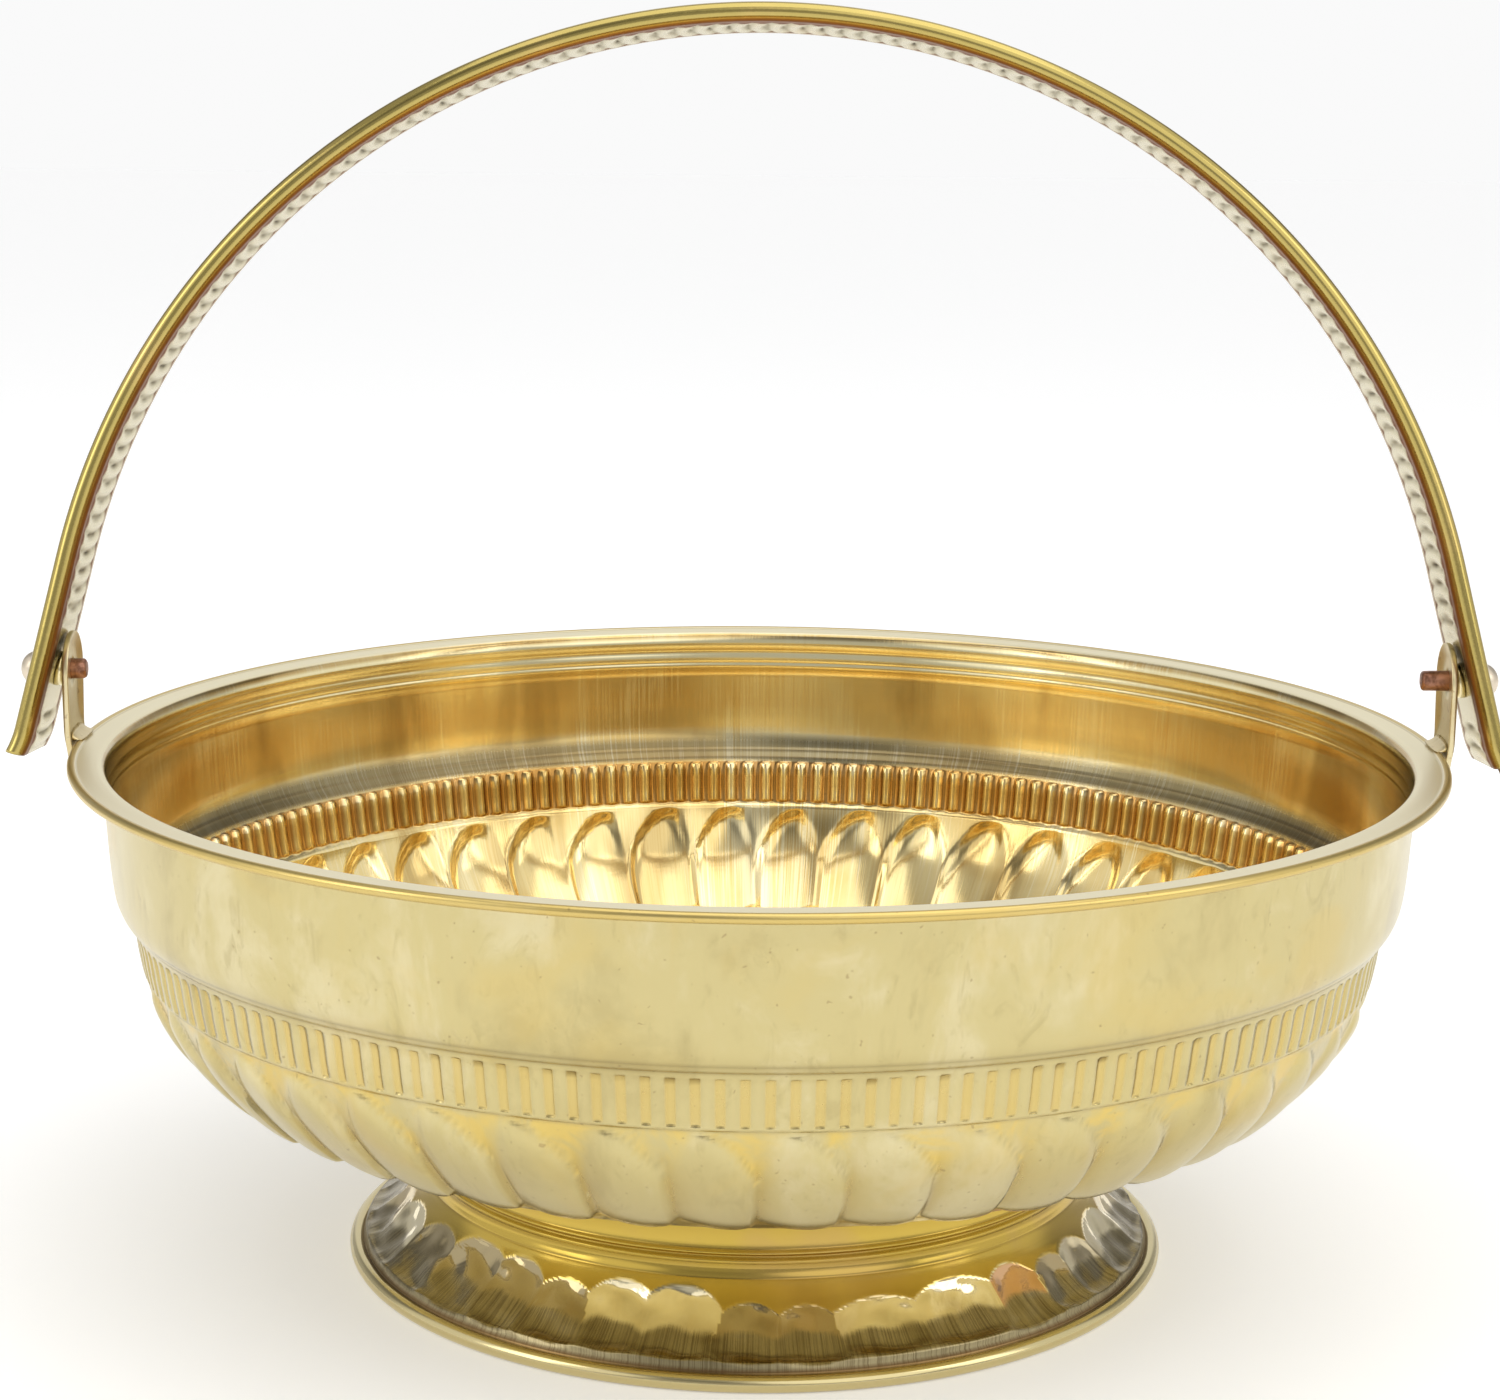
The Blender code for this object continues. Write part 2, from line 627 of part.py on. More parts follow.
# ---------------------------------------------------------------------- main
def main():
    """Build every subcomponent."""
    clear_scene()
    build_bowl()
    build_foot()
    for side, label, tail in ((-1.0, "left", RIVET_TAIL_LEFT), (1.0, "right", RIVET_TAIL_RIGHT)):
        build_ear(side, "ear_" + label)
        build_ear_solder(side, "ear_solder_" + label)
        build_rivet(side, "rivet_" + label, tail)
        build_spacer(side, "spacer_" + label)
    build_handle()


main()
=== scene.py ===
"""Looks of a footed brass basket bowl with a swinging bail handle.

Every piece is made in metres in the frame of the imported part: +Z is up, the
origin is the centre of the foot's standing ring, +X runs through the pivots
and the front is -Y. Sizes in the classes are in millimetres.
"""

import logging
import math
from collections.abc import Callable, Sequence
from dataclasses import dataclass, field
from enum import Enum
from typing import Any

import bpy
import numpy as np
from mathutils import Matrix, Vector


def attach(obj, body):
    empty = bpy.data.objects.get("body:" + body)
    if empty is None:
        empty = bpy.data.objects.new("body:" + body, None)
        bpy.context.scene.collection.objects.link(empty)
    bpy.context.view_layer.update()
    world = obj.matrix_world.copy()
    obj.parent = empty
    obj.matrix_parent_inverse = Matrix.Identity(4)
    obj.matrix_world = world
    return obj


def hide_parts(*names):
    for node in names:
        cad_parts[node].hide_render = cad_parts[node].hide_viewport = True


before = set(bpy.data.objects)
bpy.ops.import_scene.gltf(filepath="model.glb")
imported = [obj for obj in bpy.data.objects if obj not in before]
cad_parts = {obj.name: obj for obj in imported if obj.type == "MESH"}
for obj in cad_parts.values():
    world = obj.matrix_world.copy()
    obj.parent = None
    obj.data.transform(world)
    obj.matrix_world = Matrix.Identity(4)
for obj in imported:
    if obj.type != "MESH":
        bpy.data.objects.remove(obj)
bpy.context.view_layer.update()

LOG = logging.getLogger("brass_basket")
MM = 0.001
TURN = 2.0 * math.pi
AXIS_RADIUS = 0.0005

Colour = tuple[float, float, float]
Array = np.ndarray


class Side(Enum):
    """The two ends of the pivot axis."""

    LEFT = -1.0
    RIGHT = 1.0

    @property
    def label(self) -> str:
        """Lower-case name used in piece names."""
        return self.name.lower()


class Body(Enum):
    """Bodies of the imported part."""

    BASKET = "basket"
    HANDLE = "handle"


# ------------------------------------------------------------- shader maths
def _operator(operation: str, reflected: bool = False) -> Callable[[Any, Any], "Sock"]:
    """Make one arithmetic method of Sock.

    Args:
        operation: operation of the Math node that the method adds.
        reflected: whether the socket is the second value.

    Returns:
        The method.
    """
    def apply(self: "Sock", other: "Sock | float") -> "Sock":
        """Add one Math node."""
        first, second = (other, self) if reflected else (self, other)
        return self.kit.math(operation, first, second)
    return apply


class Sock:
    """A node socket that takes part in Python expressions."""

    def __init__(self, kit: "NodeKit", link: bpy.types.NodeSocket) -> None:
        """Wrap an output socket.

        Args:
            kit: the node kit that adds further nodes.
            link: the output socket.
        """
        self.kit, self.link = kit, link

    __add__, __radd__ = _operator("ADD"), _operator("ADD", reflected=True)
    __sub__, __rsub__ = _operator("SUBTRACT"), _operator("SUBTRACT", reflected=True)
    __mul__, __rmul__ = _operator("MULTIPLY"), _operator("MULTIPLY", reflected=True)
    __truediv__ = _operator("DIVIDE")


class NodeKit:
    """Adds nodes to one material or world tree."""

    def __init__(self, tree: bpy.types.NodeTree) -> None:
        """Start on a tree.

        Args:
            tree: the node tree, which is emptied.
        """
        self.tree = tree
        tree.nodes.clear()

    def node(self, kind: str, settings: dict[str, Any] | None = None,
             values: dict[str | int, Any] | None = None) -> bpy.types.Node:
        """Add one node.

        Args:
            kind: the node's type name.
            settings: properties, which are set first.
            values: numbers, tuples or Socks for its inputs, by identifier, name or index.

        Returns:
            The new node.
        """
        made = self.tree.nodes.new(kind)
        for key, value in (settings or {}).items():
            setattr(made, key, value)
        for key, value in (values or {}).items():
            known = [s for s in made.inputs if s.identifier == key]
            target = known[0] if known else made.inputs[key]
            if isinstance(value, Sock):
                self.tree.links.new(value.link, target)
            else:
                target.default_value = value
        return made

    def value(self, kind: str, settings: dict[str, Any] | None = None,
              values: dict[str | int, Any] | None = None, out: str = "") -> Sock:
        """Add one node and read it.

        Args:
            kind: the node's type name.
            settings: as for node.
            values: as for node.
            out: identifier or name of the output read, the first one if empty.

        Returns:
            The output.
        """
        made = self.node(kind, settings, values)
        named = [s for s in made.outputs if not out or out in (s.identifier, s.name)]
        return Sock(self, named[0])

    def math(self, operation: str, a: Sock | float, b: Sock | float = 0.0) -> Sock:
        """Add a Math node.

        Args:
            operation: the node's operation.
            a: first value.
            b: second value.

        Returns:
            The result.
        """
        return self.value("ShaderNodeMath", {"operation": operation}, {0: a, 1: b})

    def mix(self, factor: Sock | float, a: Any, b: Any) -> Sock:
        """Mix two colours.

        Args:
            factor: share of the second colour.
            a: first colour, a tuple or a Sock.
            b: second colour.

        Returns:
            The mixed colour.
        """
        values = {"Factor_Float": factor}
        for key, value in (("A_Color", a), ("B_Color", b)):
            values[key] = value if isinstance(value, Sock) else (*value, 1.0)
        return self.value("ShaderNodeMix", {"data_type": "RGBA"}, values, "Result_Color")

    def coats(self, base: Any, *coats: tuple[Sock | float, Any]) -> Any:
        """Lay colours over one another.

        Args:
            base: the lowest colour.
            coats: share and colour of each coat, from the lowest up.

        Returns:
            The colour on top.
        """
        for share, colour in coats:
            base = self.mix(share, base, colour)
        return base

    def spread(self, value: Sock, low: float, high: float, to_low: float = 0.0,
               to_high: float = 1.0) -> Sock:
        """Ease a value from one range into another, clamped.

        Args:
            value: the input.
            low: value that gives to_low.
            high: value that gives to_high.
            to_low: result at the low end.
            to_high: result at the high end.

        Returns:
            The mapped value.
        """
        return self.value("ShaderNodeMapRange",
                          {"interpolation_type": "SMOOTHSTEP", "clamp": True},
                          {"Value": value, "From Min": low, "From Max": high,
                           "To Min": to_low, "To Max": to_high})

    def noise(self, place: Sock, scale: float, detail: float = 2.0,
              rough: float = 0.5, warp: float = 0.0) -> Sock:
        """Noise value at a place, about 0.5 on average."""
        return self.value("ShaderNodeTexNoise", {"noise_dimensions": "3D"},
                          {"Vector": place, "Scale": scale, "Detail": detail,
                           "Roughness": rough, "Distortion": warp})

    def mask(self, name: str) -> Sock:
        """Read a number that the mesh holds at its points."""
        return self.value("ShaderNodeAttribute", {"attribute_name": name}, out="Fac")

    def place(self) -> Sock:
        """Coordinates that stay with the piece, in metres."""
        return self.value("ShaderNodeTexCoord", out="Object")

    def parts(self, place: Sock) -> list[Sock]:
        """Split a place into x, y and z."""
        made = self.node("ShaderNodeSeparateXYZ", None, {0: place})
        return [Sock(self, out) for out in made.outputs]

    def join(self, x: Any, y: Any, z: Any) -> Sock:
        """Make a place from x, y and z."""
        return self.value("ShaderNodeCombineXYZ", None, {0: x, 1: y, 2: z})

    def strokes(self, place: Sock, around: float, along: float, detail: float = 3.0,
                rough: float = 0.6, warp: float = 0.0) -> Sock:
        """Noise on a turned piece, drawn out along its height and without a seam.

        Args:
            place: the piece's coordinates.
            around: how fast the pattern changes round the axis, per radian.
            along: how fast it changes with height, per metre.
            detail: the noise's detail.
            rough: the noise's roughness.
            warp: the noise's distortion.

        Returns:
            The noise value.
        """
        x, y, z = self.parts(place)
        radius = self.math("MAXIMUM", self.math("SQRT", x * x + y * y), AXIS_RADIUS)
        drawn = self.join(x / radius * around, y / radius * around, z * along)
        return self.noise(drawn, 1.0, detail, rough, warp)

    def lathe(self, place: Sock, fine: float) -> Sock:
        """Noise that changes only across the turning lines.

        Args:
            place: the piece's coordinates.
            fine: how fast it changes, per metre.

        Returns:
            The noise value.
        """
        x, y, z = self.parts(place)
        radius = self.math("SQRT", x * x + y * y)
        return self.noise(self.join(radius * fine, z * fine, 0.0), 1.0, 2.0, 0.5)

    def metal(self, colour: Sock, rough: Sock, height: Sock, depth_mm: float,
              metallic: float = 1.0) -> None:
        """Finish the tree with a bumped metal shader.

        Args:
            colour: base colour.
            rough: roughness.
            height: bump height in units of depth_mm.
            depth_mm: the unit of height.
            metallic: share of bare metal.
        """
        normal = self.value("ShaderNodeBump", None, {
            "Strength": 1.0, "Distance": depth_mm * MM, "Height": height})
        self.surface({"Base Color": colour, "Roughness": rough, "Metallic": metallic,
                      "Normal": normal})

    def surface(self, values: dict[str | int, Any]) -> None:
        """Finish a material's tree with one Principled shader."""
        self.node("ShaderNodeOutputMaterial", None,
                  {0: self.value("ShaderNodeBsdfPrincipled", None, values)})


@dataclass(frozen=True)
class Finish:
    """A finish that makes one material."""

    name: str

    def shade(self, kit: NodeKit) -> None:
        """Fill the material's tree.

        Args:
            kit: the node kit.
        """
        raise NotImplementedError

    def material(self) -> bpy.types.Material:
        """Make the material, once for each name.

        Returns:
            The material.
        """
        found = bpy.data.materials.get(self.name)
        if found is not None:
            return found
        made = bpy.data.materials.new(self.name)
        made.use_nodes = True
        self.shade(NodeKit(made.node_tree))
        return made


@dataclass(frozen=True)
class BowlBrass(Finish):
    """Pressed brass of the bowl: pale and hand-polished, gold in its hollows, with painted
    highlight clouds and painted shade along the petals, grooves and lines.
    """

    pale: Colour = (0.590, 0.500, 0.240)
    # white: colour of painted highlight clouds
    white: Colour = (0.69, 0.61, 0.37)
    dull: Colour = (0.45, 0.365, 0.165)
    gold: Colour = (0.66, 0.485, 0.15)
    blotch: Colour = (0.74, 0.54, 0.14)
    rub: Colour = (0.62, 0.47, 0.22)
    pit: Colour = (0.30, 0.19, 0.08)
    # line: colour of painted shade lines
    line: Colour = (0.19, 0.125, 0.035)
    rough: float = 0.15

    def shade(self, kit: NodeKit) -> None:
        """Fill the tree.

        Args:
            kit: the node kit.
        """
        place = kit.place()
        cloud = kit.noise(place, 38.0, 5.0, 0.55, 0.6)
        fine = kit.noise(place, 420.0, 3.0, 0.6)
        streak = kit.strokes(place, 260.0, 45.0)
        broad = kit.strokes(place, 6.0, 34.0, 5.0, 0.62, 0.4)
        wisps = kit.strokes(place, 26.0, 120.0, 5.0, 0.65, 0.8)
        patches = kit.spread(kit.noise(place, 75.0, 4.0, 0.6, 0.8), 0.42, 0.62)
        sunk = kit.mask("sunk")
        tint = kit.coats(
            self.pale,
            # broad noise: painted highlight clouds (white) where it is high, dull patches where
            # it is low
            (kit.spread(broad, 0.50, 0.70, 0.0, 0.75), self.white),
            (kit.spread(broad, 0.30, 0.48, 0.55, 0.0), self.dull),
            (kit.spread(wisps, 0.54, 0.72, 0.0, 0.45), self.dull),
            (kit.spread(cloud, 0.48, 0.72, 0.0, 0.33), self.gold),
            # sunk: gold of the flute grooves and hem bead, and painted shade in the petals'
            # valleys and seams
            (sunk * (0.55 + 0.6 * cloud), self.gold),
            (kit.mask("hollow") * patches * 0.75, self.blotch),
            (kit.spread(streak, 0.50, 0.72, 0.0, 0.10), self.rub),
            (kit.spread(kit.noise(place, 1000.0, 1.0), 0.73, 0.78, 0.0, 0.4), self.pit),
            # dark: painted shade at petal seams, edges, valleys and feet, in flute and step
            # grooves and under the lip's bead
            (kit.mask("dark"), self.line))
        rough = 0.10 * cloud + 0.06 * fine + sunk * 0.08 + self.rough
        kit.metal(tint, rough, 0.5 * fine + 0.6 * streak, 0.012)


@dataclass(frozen=True)
class InnerBrass(Finish):
    """Brass inside the bowl: deeper gold, stroked upright, its floor turned, with painted
    reflections and painted shade lines.
    """

    gold: Colour = (0.90, 0.735, 0.36)
    deep: Colour = (0.78, 0.55, 0.20)
    # ledge: colour of a painted dark reflection on the shelf
    ledge: Colour = (0.135, 0.11, 0.06)
    worn_ledge: Colour = (0.46, 0.41, 0.28)
    shadow: Colour = (0.40, 0.25, 0.07)
    glint: Colour = (0.95, 0.83, 0.50)
    lip: Colour = (0.90, 0.82, 0.57)
    brow: Colour = (0.90, 0.82, 0.52)
    groove: Colour = (0.45, 0.22, 0.05)
    # line: colour of painted shade lines
    line: Colour = (0.22, 0.11, 0.03)
    rough: float = 0.08

    def shade(self, kit: NodeKit) -> None:
        """Fill the tree.

        Args:
            kit: the node kit.
        """
        place = kit.place()
        floor, shelf, lip = kit.mask("floor"), kit.mask("shelf"), kit.mask("lip")
        cloud = kit.noise(place, 30.0, 4.0, 0.55, 0.4)
        rings = kit.lathe(place, 1400.0)
        strokes = kit.strokes(place, 330.0, 40.0) * (1.0 - floor) + rings * floor
        sweep = kit.strokes(place, 5.0, 12.0, 3.0, 0.5, 0.6) * (1.0 - floor) + cloud * floor
        tint = kit.coats(
            self.gold,
            (kit.spread(cloud, 0.40, 0.70), self.deep),
            # Upright streaks of deeper gold: brushing, and painted darker streaks of reflection
            (kit.spread(strokes, 0.44, 0.66, 0.0, 0.60), self.deep),
            (kit.spread(sweep, 0.34, 0.48, 0.55, 0.0), self.shadow),
            (kit.spread(sweep * 0.6 + strokes * 0.4, 0.50, 0.60, 0.0, 0.85), self.glint),
            (kit.mask("brow") * 0.75, self.brow),
            # shelf: painted dark reflection, with paler worn streaks over it
            (shelf * 0.8, self.ledge),
            (shelf * kit.spread(strokes, 0.50, 0.68, 0.0, 0.5), self.worn_ledge),
            (lip, self.lip),
            (kit.mask("sunk") * 0.85, self.groove),
            # dark: painted shade lines, as on the outside, and at the lip's inner edge
            (kit.mask("dark"), self.line))
        rough = 0.09 * strokes + 0.05 * cloud + 0.14 * shelf + 0.22 * lip + self.rough
        kit.metal(tint, rough, strokes + 0.3 * rings, 0.016)


@dataclass(frozen=True)
class FootBrass(Finish):
    """Spun foot: gold neck and cone, mirror facets with painted reflections, a brushed skirt
    and painted shade lines.
    """

    gold: Colour = (0.55, 0.385, 0.075)
    facet: Colour = (0.76, 0.635, 0.36)
    # bronze, pale and copper: colours of painted facet reflections
    bronze: Colour = (0.26, 0.195, 0.10)
    pale: Colour = (0.95, 0.84, 0.56)
    copper: Colour = (0.66, 0.34, 0.15)
    stain: Colour = (0.50, 0.32, 0.13)
    bead: Colour = (0.64, 0.54, 0.28)
    brushed: Colour = (0.36, 0.30, 0.165)
    stroke: Colour = (0.20, 0.155, 0.08)
    # line: colour of painted shade and painted reflection lines
    line: Colour = (0.16, 0.08, 0.025)
    rough: float = 0.05

    def shade(self, kit: NodeKit) -> None:
        """Fill the tree.

        Args:
            kit: the node kit.
        """
        place = kit.place()
        cloud = kit.noise(place, 45.0, 4.0, 0.5, 0.5)
        fine = kit.noise(place, 500.0, 2.0)
        hammer = kit.noise(place, 170.0, 3.0, 0.55, 0.6)
        strokes = kit.strokes(place, 300.0, 50.0)
        dent, skirt, facet_reflection = kit.mask("dent"), kit.mask("skirt"), kit.mask("facet_reflection")
        # Each facet's painted reflection: dark bronze, pale highlight or copper over the plain
        # facet colour
        face = kit.coats(
            self.facet,
            (kit.spread(facet_reflection, 0.30, 0.42, 0.62, 0.0), self.bronze),
            (kit.spread(facet_reflection, 0.55, 0.66, 0.0, 0.80), self.pale),
            (kit.spread(facet_reflection, 0.93, 0.95, 0.0, 0.8), self.copper))
        tint = kit.coats(
            self.gold,
            (dent, face),
            (kit.spread(cloud, 0.50, 0.72, 0.0, 0.40), self.stain),
            (kit.mask("bead"), self.bead),
            (skirt, self.brushed),
            (skirt * kit.spread(strokes, 0.42, 0.66), self.stroke),
            # dark: darker towards the neck's top, painted reflection lines at the outline's
            # steps, painted shade above the rolled edge
            (kit.mask("dark"), self.line))
        rough = 0.05 * cloud + 0.03 * fine + skirt * 0.16 + (1.0 - dent) * 0.08 + self.rough
        height = (strokes * skirt * 1.2 + kit.lathe(place, 1800.0) * (1.0 - dent) * 0.6
                  + 0.25 * fine + hammer * dent * 11.0)
        kit.metal(tint, rough, height, 0.012)


@dataclass(frozen=True)
class StripBrass(Finish):
    """Handle strip: yellow rolled edges and a paler pressed web, with painted shadow at the
    seams and painted shade in the creases.
    """

    tube: Colour = (0.50, 0.395, 0.125)
    web: Colour = (0.62, 0.545, 0.32)
    stain: Colour = (0.72, 0.50, 0.20)
    # colour of painted shade in the creases between the pillows
    crease_shade: Colour = (0.045, 0.034, 0.014)
    # seam: colour of painted shadow where the rolled edges meet the web
    seam: Colour = (0.20, 0.05, 0.012)
    rough: float = 0.10

    def shade(self, kit: NodeKit) -> None:
        """Fill the tree.

        Args:
            kit: the node kit.
        """
        place = kit.place()
        cloud = kit.noise(place, 60.0, 4.0, 0.55, 0.4)
        fine = kit.noise(place, 700.0, 3.0, 0.6)
        web, seam, crease_shade = kit.mask("web"), kit.mask("seam"), kit.mask("crease_shade")
        tint = kit.coats(
            self.tube, (web, self.web), (kit.spread(cloud, 0.52, 0.75, 0.0, 0.40), self.stain),
            (crease_shade, self.crease_shade), (seam, self.seam))
        rough = (0.06 * cloud + 0.05 * fine + 0.10 * web + 0.30 * seam + 0.45 * crease_shade
                 + self.rough)
        kit.metal(tint, rough, fine, 0.012)


@dataclass(frozen=True)
class CastBrass(Finish):
    """Filed sheet brass of lugs, washers and solder fillets."""

    base: Colour = (0.82, 0.70, 0.42)
    worn: Colour = (0.66, 0.46, 0.20)
    speck: Colour = (0.28, 0.16, 0.07)
    rough: float = 0.24
    worn_share: float = 0.5

    def shade(self, kit: NodeKit) -> None:
        """Fill the tree.

        Args:
            kit: the node kit.
        """
        place = kit.place()
        x, y, z = kit.parts(place)
        cloud = kit.noise(place, 110.0, 4.0, 0.6, 0.5)
        file_marks = kit.noise(kit.join(x * 200.0, y * 900.0, z * 150.0), 1.0, 2.0)
        fine = kit.noise(place, 500.0, 3.0, 0.6)
        tint = kit.coats(
            self.base, (kit.spread(cloud, 0.42, 0.72, 0.0, self.worn_share), self.worn),
            (kit.spread(fine, 0.62, 0.74, 0.0, 0.5), self.speck))
        rough = 0.14 * cloud + 0.08 * file_marks + (self.rough - 0.08)
        kit.metal(tint, rough, file_marks + 0.8 * fine, 0.02)


SOLDER = CastBrass("solder_brass", base=(0.74, 0.62, 0.36), rough=0.34)


@dataclass(frozen=True)
class WireSteel(Finish):
    """Dull brown iron wire inside the rolled edges."""

    base: Colour = (0.17, 0.11, 0.08)
    rust: Colour = (0.34, 0.20, 0.11)

    def shade(self, kit: NodeKit) -> None:
        """Fill the tree.

        Args:
            kit: the node kit.
        """
        fine = kit.noise(kit.place(), 900.0, 4.0, 0.6)
        tint = kit.mix(kit.spread(fine, 0.4, 0.7), self.base, self.rust)
        kit.metal(tint, 0.35 + 0.25 * fine, fine, 0.03, 0.85)


@dataclass(frozen=True)
class RivetCopper(Finish):
    """Hammered copper of the rivets, browned by handling, with a painted highlight on the
    heads.
    """

    base: Colour = (0.44, 0.22, 0.145)
    brown: Colour = (0.19, 0.085, 0.05)
    # Pale colour of the painted highlight on the domed heads
    head_highlight: Colour = (0.78, 0.70, 0.55)

    def shade(self, kit: NodeKit) -> None:
        """Fill the tree.

        Args:
            kit: the node kit.
        """
        place = kit.place()
        cloud = kit.noise(place, 420.0, 4.0, 0.6, 0.8)
        dent = kit.value("ShaderNodeTexVoronoi", {"feature": "SMOOTH_F1"},
                         {"Vector": place, "Scale": 900.0})
        tint = kit.coats(
            self.base, (kit.spread(cloud, 0.40, 0.66, 0.0, 0.9), self.brown),
            # head mask: painted highlight on the domed heads
            (kit.mask("head") * 0.85, self.head_highlight))
        kit.metal(tint, 0.26 + 0.25 * cloud, dent + cloud, 0.05)


@dataclass(frozen=True)
class StudioFloor(Finish):
    """Plain pale studio sweep."""

    pale: Colour = (0.90, 0.90, 0.90)
    grey: Colour = (0.88, 0.88, 0.88)
    glow: float = 0.27

    def shade(self, kit: NodeKit) -> None:
        """Fill the tree.

        Args:
            kit: the node kit.
        """
        grain = kit.noise(kit.place(), 30.0, 2.0)
        kit.surface({
            "Base Color": kit.mix(grain * 0.04, self.pale, self.grey),
            "Roughness": 0.85 + 0.05 * grain,
            "Emission Color": (1.0, 1.0, 1.0, 1.0), "Emission Strength": self.glow})


# ------------------------------------------------------------------- meshes
def smoothstep(low: float, high: float, value: Array | float) -> Array:
    """Ease from 0 at low to 1 at high."""
    t = np.clip((np.asarray(value, float) - low) / (high - low), 0.0, 1.0)
    return t * t * (3.0 - 2.0 * t)


def window(value: Array, rise: tuple[float, float], fall: tuple[float, float]) -> Array:
    """Ease from 0 to 1 over rise and back to 0 over fall."""
    return smoothstep(*rise, value) * (1.0 - smoothstep(*fall, value))


def ridge(value: Array, centre: float, half: float) -> Array:
    """A soft ridge of height 1 at centre, gone at half away."""
    return np.exp(-((value - centre) / (0.55 * half)) ** 2)


def around(count: int) -> Array:
    """Evenly spaced angles of one turn."""
    return np.arange(count) / count * TURN


def turned(r: Array, z: Array | float, theta: Array) -> Array:
    """Points of a turned surface, from radii, heights and angles that broadcast."""
    r, z, theta = np.broadcast_arrays(r, z, theta)
    return np.stack([r * np.cos(theta), r * np.sin(theta), z], -1)


def bead_points(centre: tuple[float, float], radius: float,
                degrees: Sequence[float]) -> tuple[Array, Array]:
    """Radii and heights of points round a bead's section."""
    turn = np.radians(np.array(degrees))
    return centre[0] + radius * np.cos(turn), centre[1] + radius * np.sin(turn)


def blocks(columns: int, *parts: Array | tuple[int, float]) -> Array:
    """Stack rows of a mask.

    Args:
        columns: points in each row.
        parts: rows x 1 or rows x columns, or a count of level rows and their value.

    Returns:
        Rows x columns.
    """
    return np.concatenate([
        np.full((part[0], columns), float(part[1])) if isinstance(part, tuple)
        else np.broadcast_to(part, (len(part), columns)) for part in parts], 0)


def monotone(xs: Sequence[float], ys: Sequence[float], at: Array) -> Array:
    """Smooth curve through points that never overshoots them.

    Args:
        xs: rising positions.
        ys: values there.
        at: positions wanted.

    Returns:
        The curve's values.
    """
    x, y = np.asarray(xs, float), np.asarray(ys, float)
    step = np.diff(x)
    slope = np.diff(y) / step
    tangent = np.zeros_like(x)
    tangent[0], tangent[-1] = slope[0], slope[-1]
    same = slope[:-1] * slope[1:] > 0
    w1, w2 = 2 * step[1:] + step[:-1], step[1:] + 2 * step[:-1]
    before, after = np.where(same, slope[:-1], 1.0), np.where(same, slope[1:], 1.0)
    tangent[1:-1] = np.where(same, (w1 + w2) / (w1 / before + w2 / after), 0.0)
    k = np.clip(np.searchsorted(x, at) - 1, 0, len(x) - 2)
    t = (np.asarray(at, float) - x[k]) / step[k]
    return ((2 * t**3 - 3 * t**2 + 1) * y[k] + (t**3 - 2 * t**2 + t) * step[k] * tangent[k]
            + (-2 * t**3 + 3 * t**2) * y[k + 1] + (t**3 - t**2) * step[k] * tangent[k + 1])


def normals_of(r: Array, z: Array) -> tuple[Array, Array]:
    """Unit normals to the right of an open outline's run.

    Args:
        r: radii along the outline.
        z: heights along the outline.

    Returns:
        The normals' radial and upright parts.
    """
    dr, dz = np.gradient(r), np.gradient(z)
    size = np.maximum(np.hypot(dr, dz), 1e-9)
    return dz / size, -dr / size


@dataclass
class Piece:
    """Builds one mesh object and ties it to the frame."""

    name: str
    body: Body
    node: str
    finish: Finish
    bevel: float = 0.0

    def from_grid(self, points: Array, masks: dict[str, Array] | None = None,
                  wrap_rows: bool = False, caps: tuple[bool, bool] = (False, False)) -> None:
        """Make the object from rings of points.

        Args:
            points: rows x columns x 3; the last column joins the first.
            masks: numbers at the points, by name.
            wrap_rows: join the last row to the first.
            caps: close the first row, and the last row, with one face each.
        """
        index = np.arange(points[..., 0].size).reshape(points.shape[:2])
        below = index if wrap_rows else index[:-1]
        above = np.roll(index, -1, 0) if wrap_rows else index[1:]
        quads = np.stack([below, np.roll(below, -1, 1), np.roll(above, -1, 1), above], -1)
        ends = [row for wanted, row in zip(caps, (index[0][::-1], index[-1])) if wanted]
        corners = np.concatenate([quads.reshape(-1), *ends])
        sizes = [4] * (quads.size // 4) + [len(row) for row in ends]
        mesh = bpy.data.meshes.new(self.name)
        mesh.vertices.add(index.size)
        mesh.vertices.foreach_set("co", (points * MM).astype(np.float32).reshape(-1))
        mesh.loops.add(len(corners))
        mesh.loops.foreach_set("vertex_index", corners.astype(np.int32))
        mesh.polygons.add(len(sizes))
        starts = np.concatenate([[0], np.cumsum(sizes)[:-1]])
        mesh.polygons.foreach_set("loop_start", starts.astype(np.int32))
        mesh.update(calc_edges=True)
        mesh.validate()
        mesh.polygons.foreach_set("use_smooth", np.ones(len(mesh.polygons), bool))
        for name, values in (masks or {}).items():
            layer = mesh.attributes.new(name, "FLOAT", "POINT")
            layer.data.foreach_set("value", values.astype(np.float32).reshape(-1))
        self.dress(mesh)

    def dress(self, mesh: bpy.types.Mesh) -> None:
        """Finish a mesh, put it in the scene and tie it to its body and node.

        Args:
            mesh: the filled mesh.
        """
        mesh.materials.append(self.finish.material())
        made = bpy.data.objects.new(self.name, mesh)
        bpy.context.scene.collection.objects.link(made)
        if self.bevel > 0.0:
            mod = made.modifiers.new("round_edges", "BEVEL")
            mod.width, mod.segments, mod.limit_method = self.bevel * MM, 2, "ANGLE"
            mod.angle_limit = math.radians(38.0)
        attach(made, self.body.value)
        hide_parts(self.node)
        LOG.info("%s: %d points", self.name, len(mesh.vertices))


